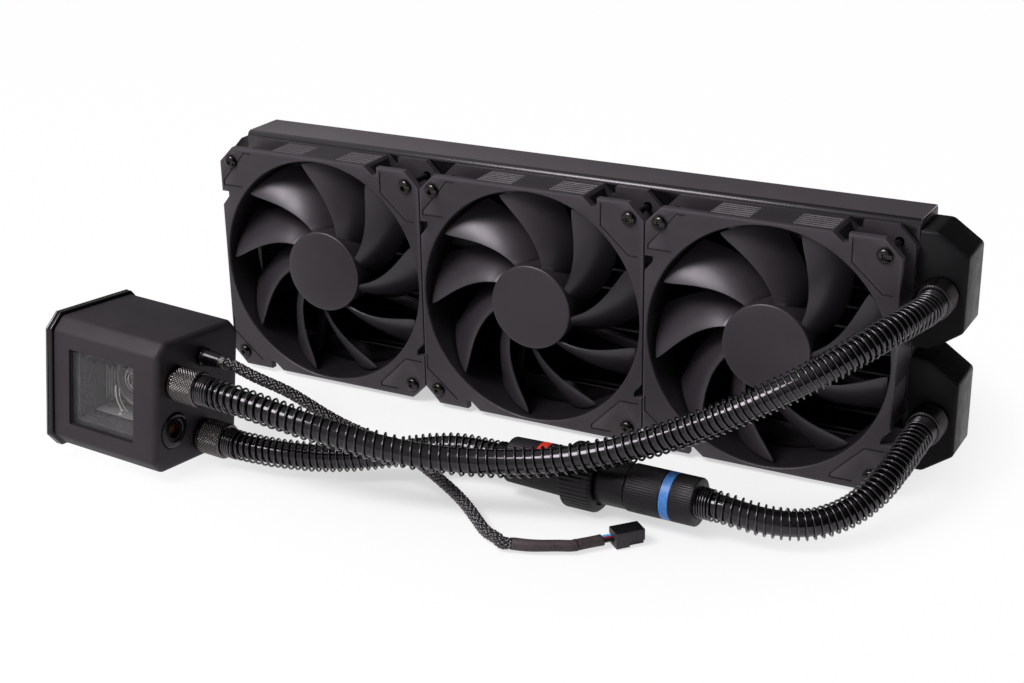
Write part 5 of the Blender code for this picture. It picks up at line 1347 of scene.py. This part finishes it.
def build_plug():
    seat = on_face(PLUG, PLUG_SUNK)
    profile = [(0.0, -5.7), (5.3, -5.7), (5.8, -5.2)]
    profile += [(5.8 - 0.35 * (k % 2), -5.2 + 0.55 * k) for k in range(1, 11)]
    profile += [(5.8, 2.0), (8.3, 2.0), (8.6, 2.3), (8.6, 4.5), (8.45, 4.95), (8.1, 5.25)]
    profile += [(7.6, 5.4), (5.6, 5.4), (5.2, 5.05), (0.0, 5.05)]
    plug = carve(revolve(profile, 72), [cylinder(4.0, 1.9, 7.0, 6)])
    put("plug_body", plug, "plug", seat, node="fill_plug", body="plug")
    profile = [(0.0, 1.95), (3.3, 1.95), (3.3, 2.5), (1.4, 2.75), (0.0, 2.75)]
    floor = revolve(rounded(profile, 0.2), 36)
    put("plug_core", floor, "bronze", seat, body="plug")


def build_gland():
    seat = on_face(GLAND)
    profile = [(0.0, GAP), (4.6, GAP), (4.6, 2.4), (4.0, 3.0), (3.3, 9.6), (3.15, 11.4)]
    profile += [(2.6, GLAND_LENGTH), (0.0, GLAND_LENGTH)]
    shell = revolve(rounded(profile, 0.35), 56)
    put("gland_shell", shell, "gland", seat, 35, "cable_gland")

    def shape(radius, height, angle):
        return knurl(radius, height, angle, 16, 1.2, 0.22)

    ring = [(3.05, 11.0), (3.22, 11.2), (3.22, 14.4), (3.0, 14.7)]
    put("gland_crimp", revolve(ring, 44, True, shape), "crimp", seat, 60)


# ---- studio ----
LAMP_PLACE = Vector((-0.40, -0.81, 1.07))
LAMP_TARGET = Vector((0.0, -0.08, 0.06))
LAMP_SIZE = (0.62, 0.50)
LAMP_POWER = 15.5
ROOM_BRIGHT_SIDE = (-0.80, -0.52, 0.30)
ROOM_RANGE = (-0.15, 0.75)
ROOM_LEVELS = (0.07, 0.85)
FLOOR_HALF = 6.0
FLOOR_DROP = 0.0004
FLOOR_COLOUR = (0.92, 0.92, 0.92)
# How far the floor shows plain white, by distance from the object's middle in metres.
FLOOR_RANGE = (0.13, 0.23)
FLOOR_SHARE = (0.56, 0.98)


def seen_by(tree, ray):
    """1 for camera rays and for one more kind of ray."""
    rays = add_node(tree, "LightPath", {}, None).outputs
    inputs = {0: rays["Is Camera Ray"], 1: rays[ray]}
    return add_node(tree, "Math", inputs, "Value", operation="MAXIMUM")


def mix_shader(tree, share, first, second):
    return add_node(tree, "MixShader", {0: share, 1: first, 2: second}, "Shader")


def build_lamp():
    data = bpy.data.lights.new("main_box", "AREA")
    data.shape = "RECTANGLE"
    data.size, data.size_y = LAMP_SIZE
    data.energy = LAMP_POWER
    lamp = bpy.data.objects.new("main_box", data)
    scene.collection.objects.link(lamp)
    aim = (LAMP_TARGET - LAMP_PLACE).to_track_quat("-Z", "Y").to_matrix().to_4x4()
    lamp.matrix_world = Matrix.Translation(LAMP_PLACE) @ aim


def build_world():
    """A white backdrop, and a dim room that is brighter on one side for light and gloss."""
    world = bpy.data.worlds.new("studio")
    scene.world = world
    world.use_nodes = True
    tree = world.node_tree
    tree.nodes.clear()
    towards = facing(tree, add_node(tree, "TexCoord", {}, "Generated"), ROOM_BRIGHT_SIDE)
    level = map_range(tree, towards, ROOM_RANGE, ROOM_LEVELS, "SMOOTHSTEP")
    room = add_node(tree, "Background", {"Strength": level}, "Background")
    white = add_node(tree, "Background", {"Color": WHITE}, "Background")
    shown = mix_shader(tree, seen_by(tree, "Is Transmission Ray"), room, white)
    add_node(tree, "OutputWorld", {"Surface": shown}, None)


def build_floor():
    bm = bmesh.new()
    bmesh.ops.create_grid(bm, x_segments=2, y_segments=2, size=FLOOR_HALF)
    mesh = new_mesh("floor", bm)
    floor = bpy.data.objects.new("floor", mesh)
    scene.collection.objects.link(floor)
    floor.location.z = -FLOOR_DROP
    mat = bpy.data.materials.new("floor_paper")
    mat.use_nodes = True
    tree = mat.node_tree
    shader = tree.nodes["Principled BSDF"]
    for socket, value in (
        ("Base Color", FLOOR_COLOUR), ("Roughness", 0.9), ("Specular IOR Level", 0.1)
    ):
        feed(tree, shader.inputs[socket], value)
    place = add_node(tree, "TexCoord", {}, "Object")
    distance = add_node(tree, "VectorMath", {0: place}, "Value", operation="LENGTH")
    paler = map_range(tree, distance, FLOOR_RANGE, FLOOR_SHARE)
    inputs = {0: seen_by(tree, "Is Glossy Ray"), 1: paler}
    share = add_node(tree, "Math", inputs, "Value", operation="MULTIPLY")
    glow = add_node(tree, "Emission", {"Color": WHITE}, "Emission")
    shown = mix_shader(tree, share, shader.outputs["BSDF"], glow)
    feed(tree, tree.nodes["Material Output"].inputs["Surface"], shown)
    mesh.materials.append(mat)


build_camera()
build_hoses()
build_cable()
build_fans()
build_radiator()
build_fittings()
build_coupling()
build_housing()
build_window()
build_plates()
build_plug()
build_gland()
build_lamp()
build_world()
build_floor()
scene.view_settings.view_transform = "Standard"
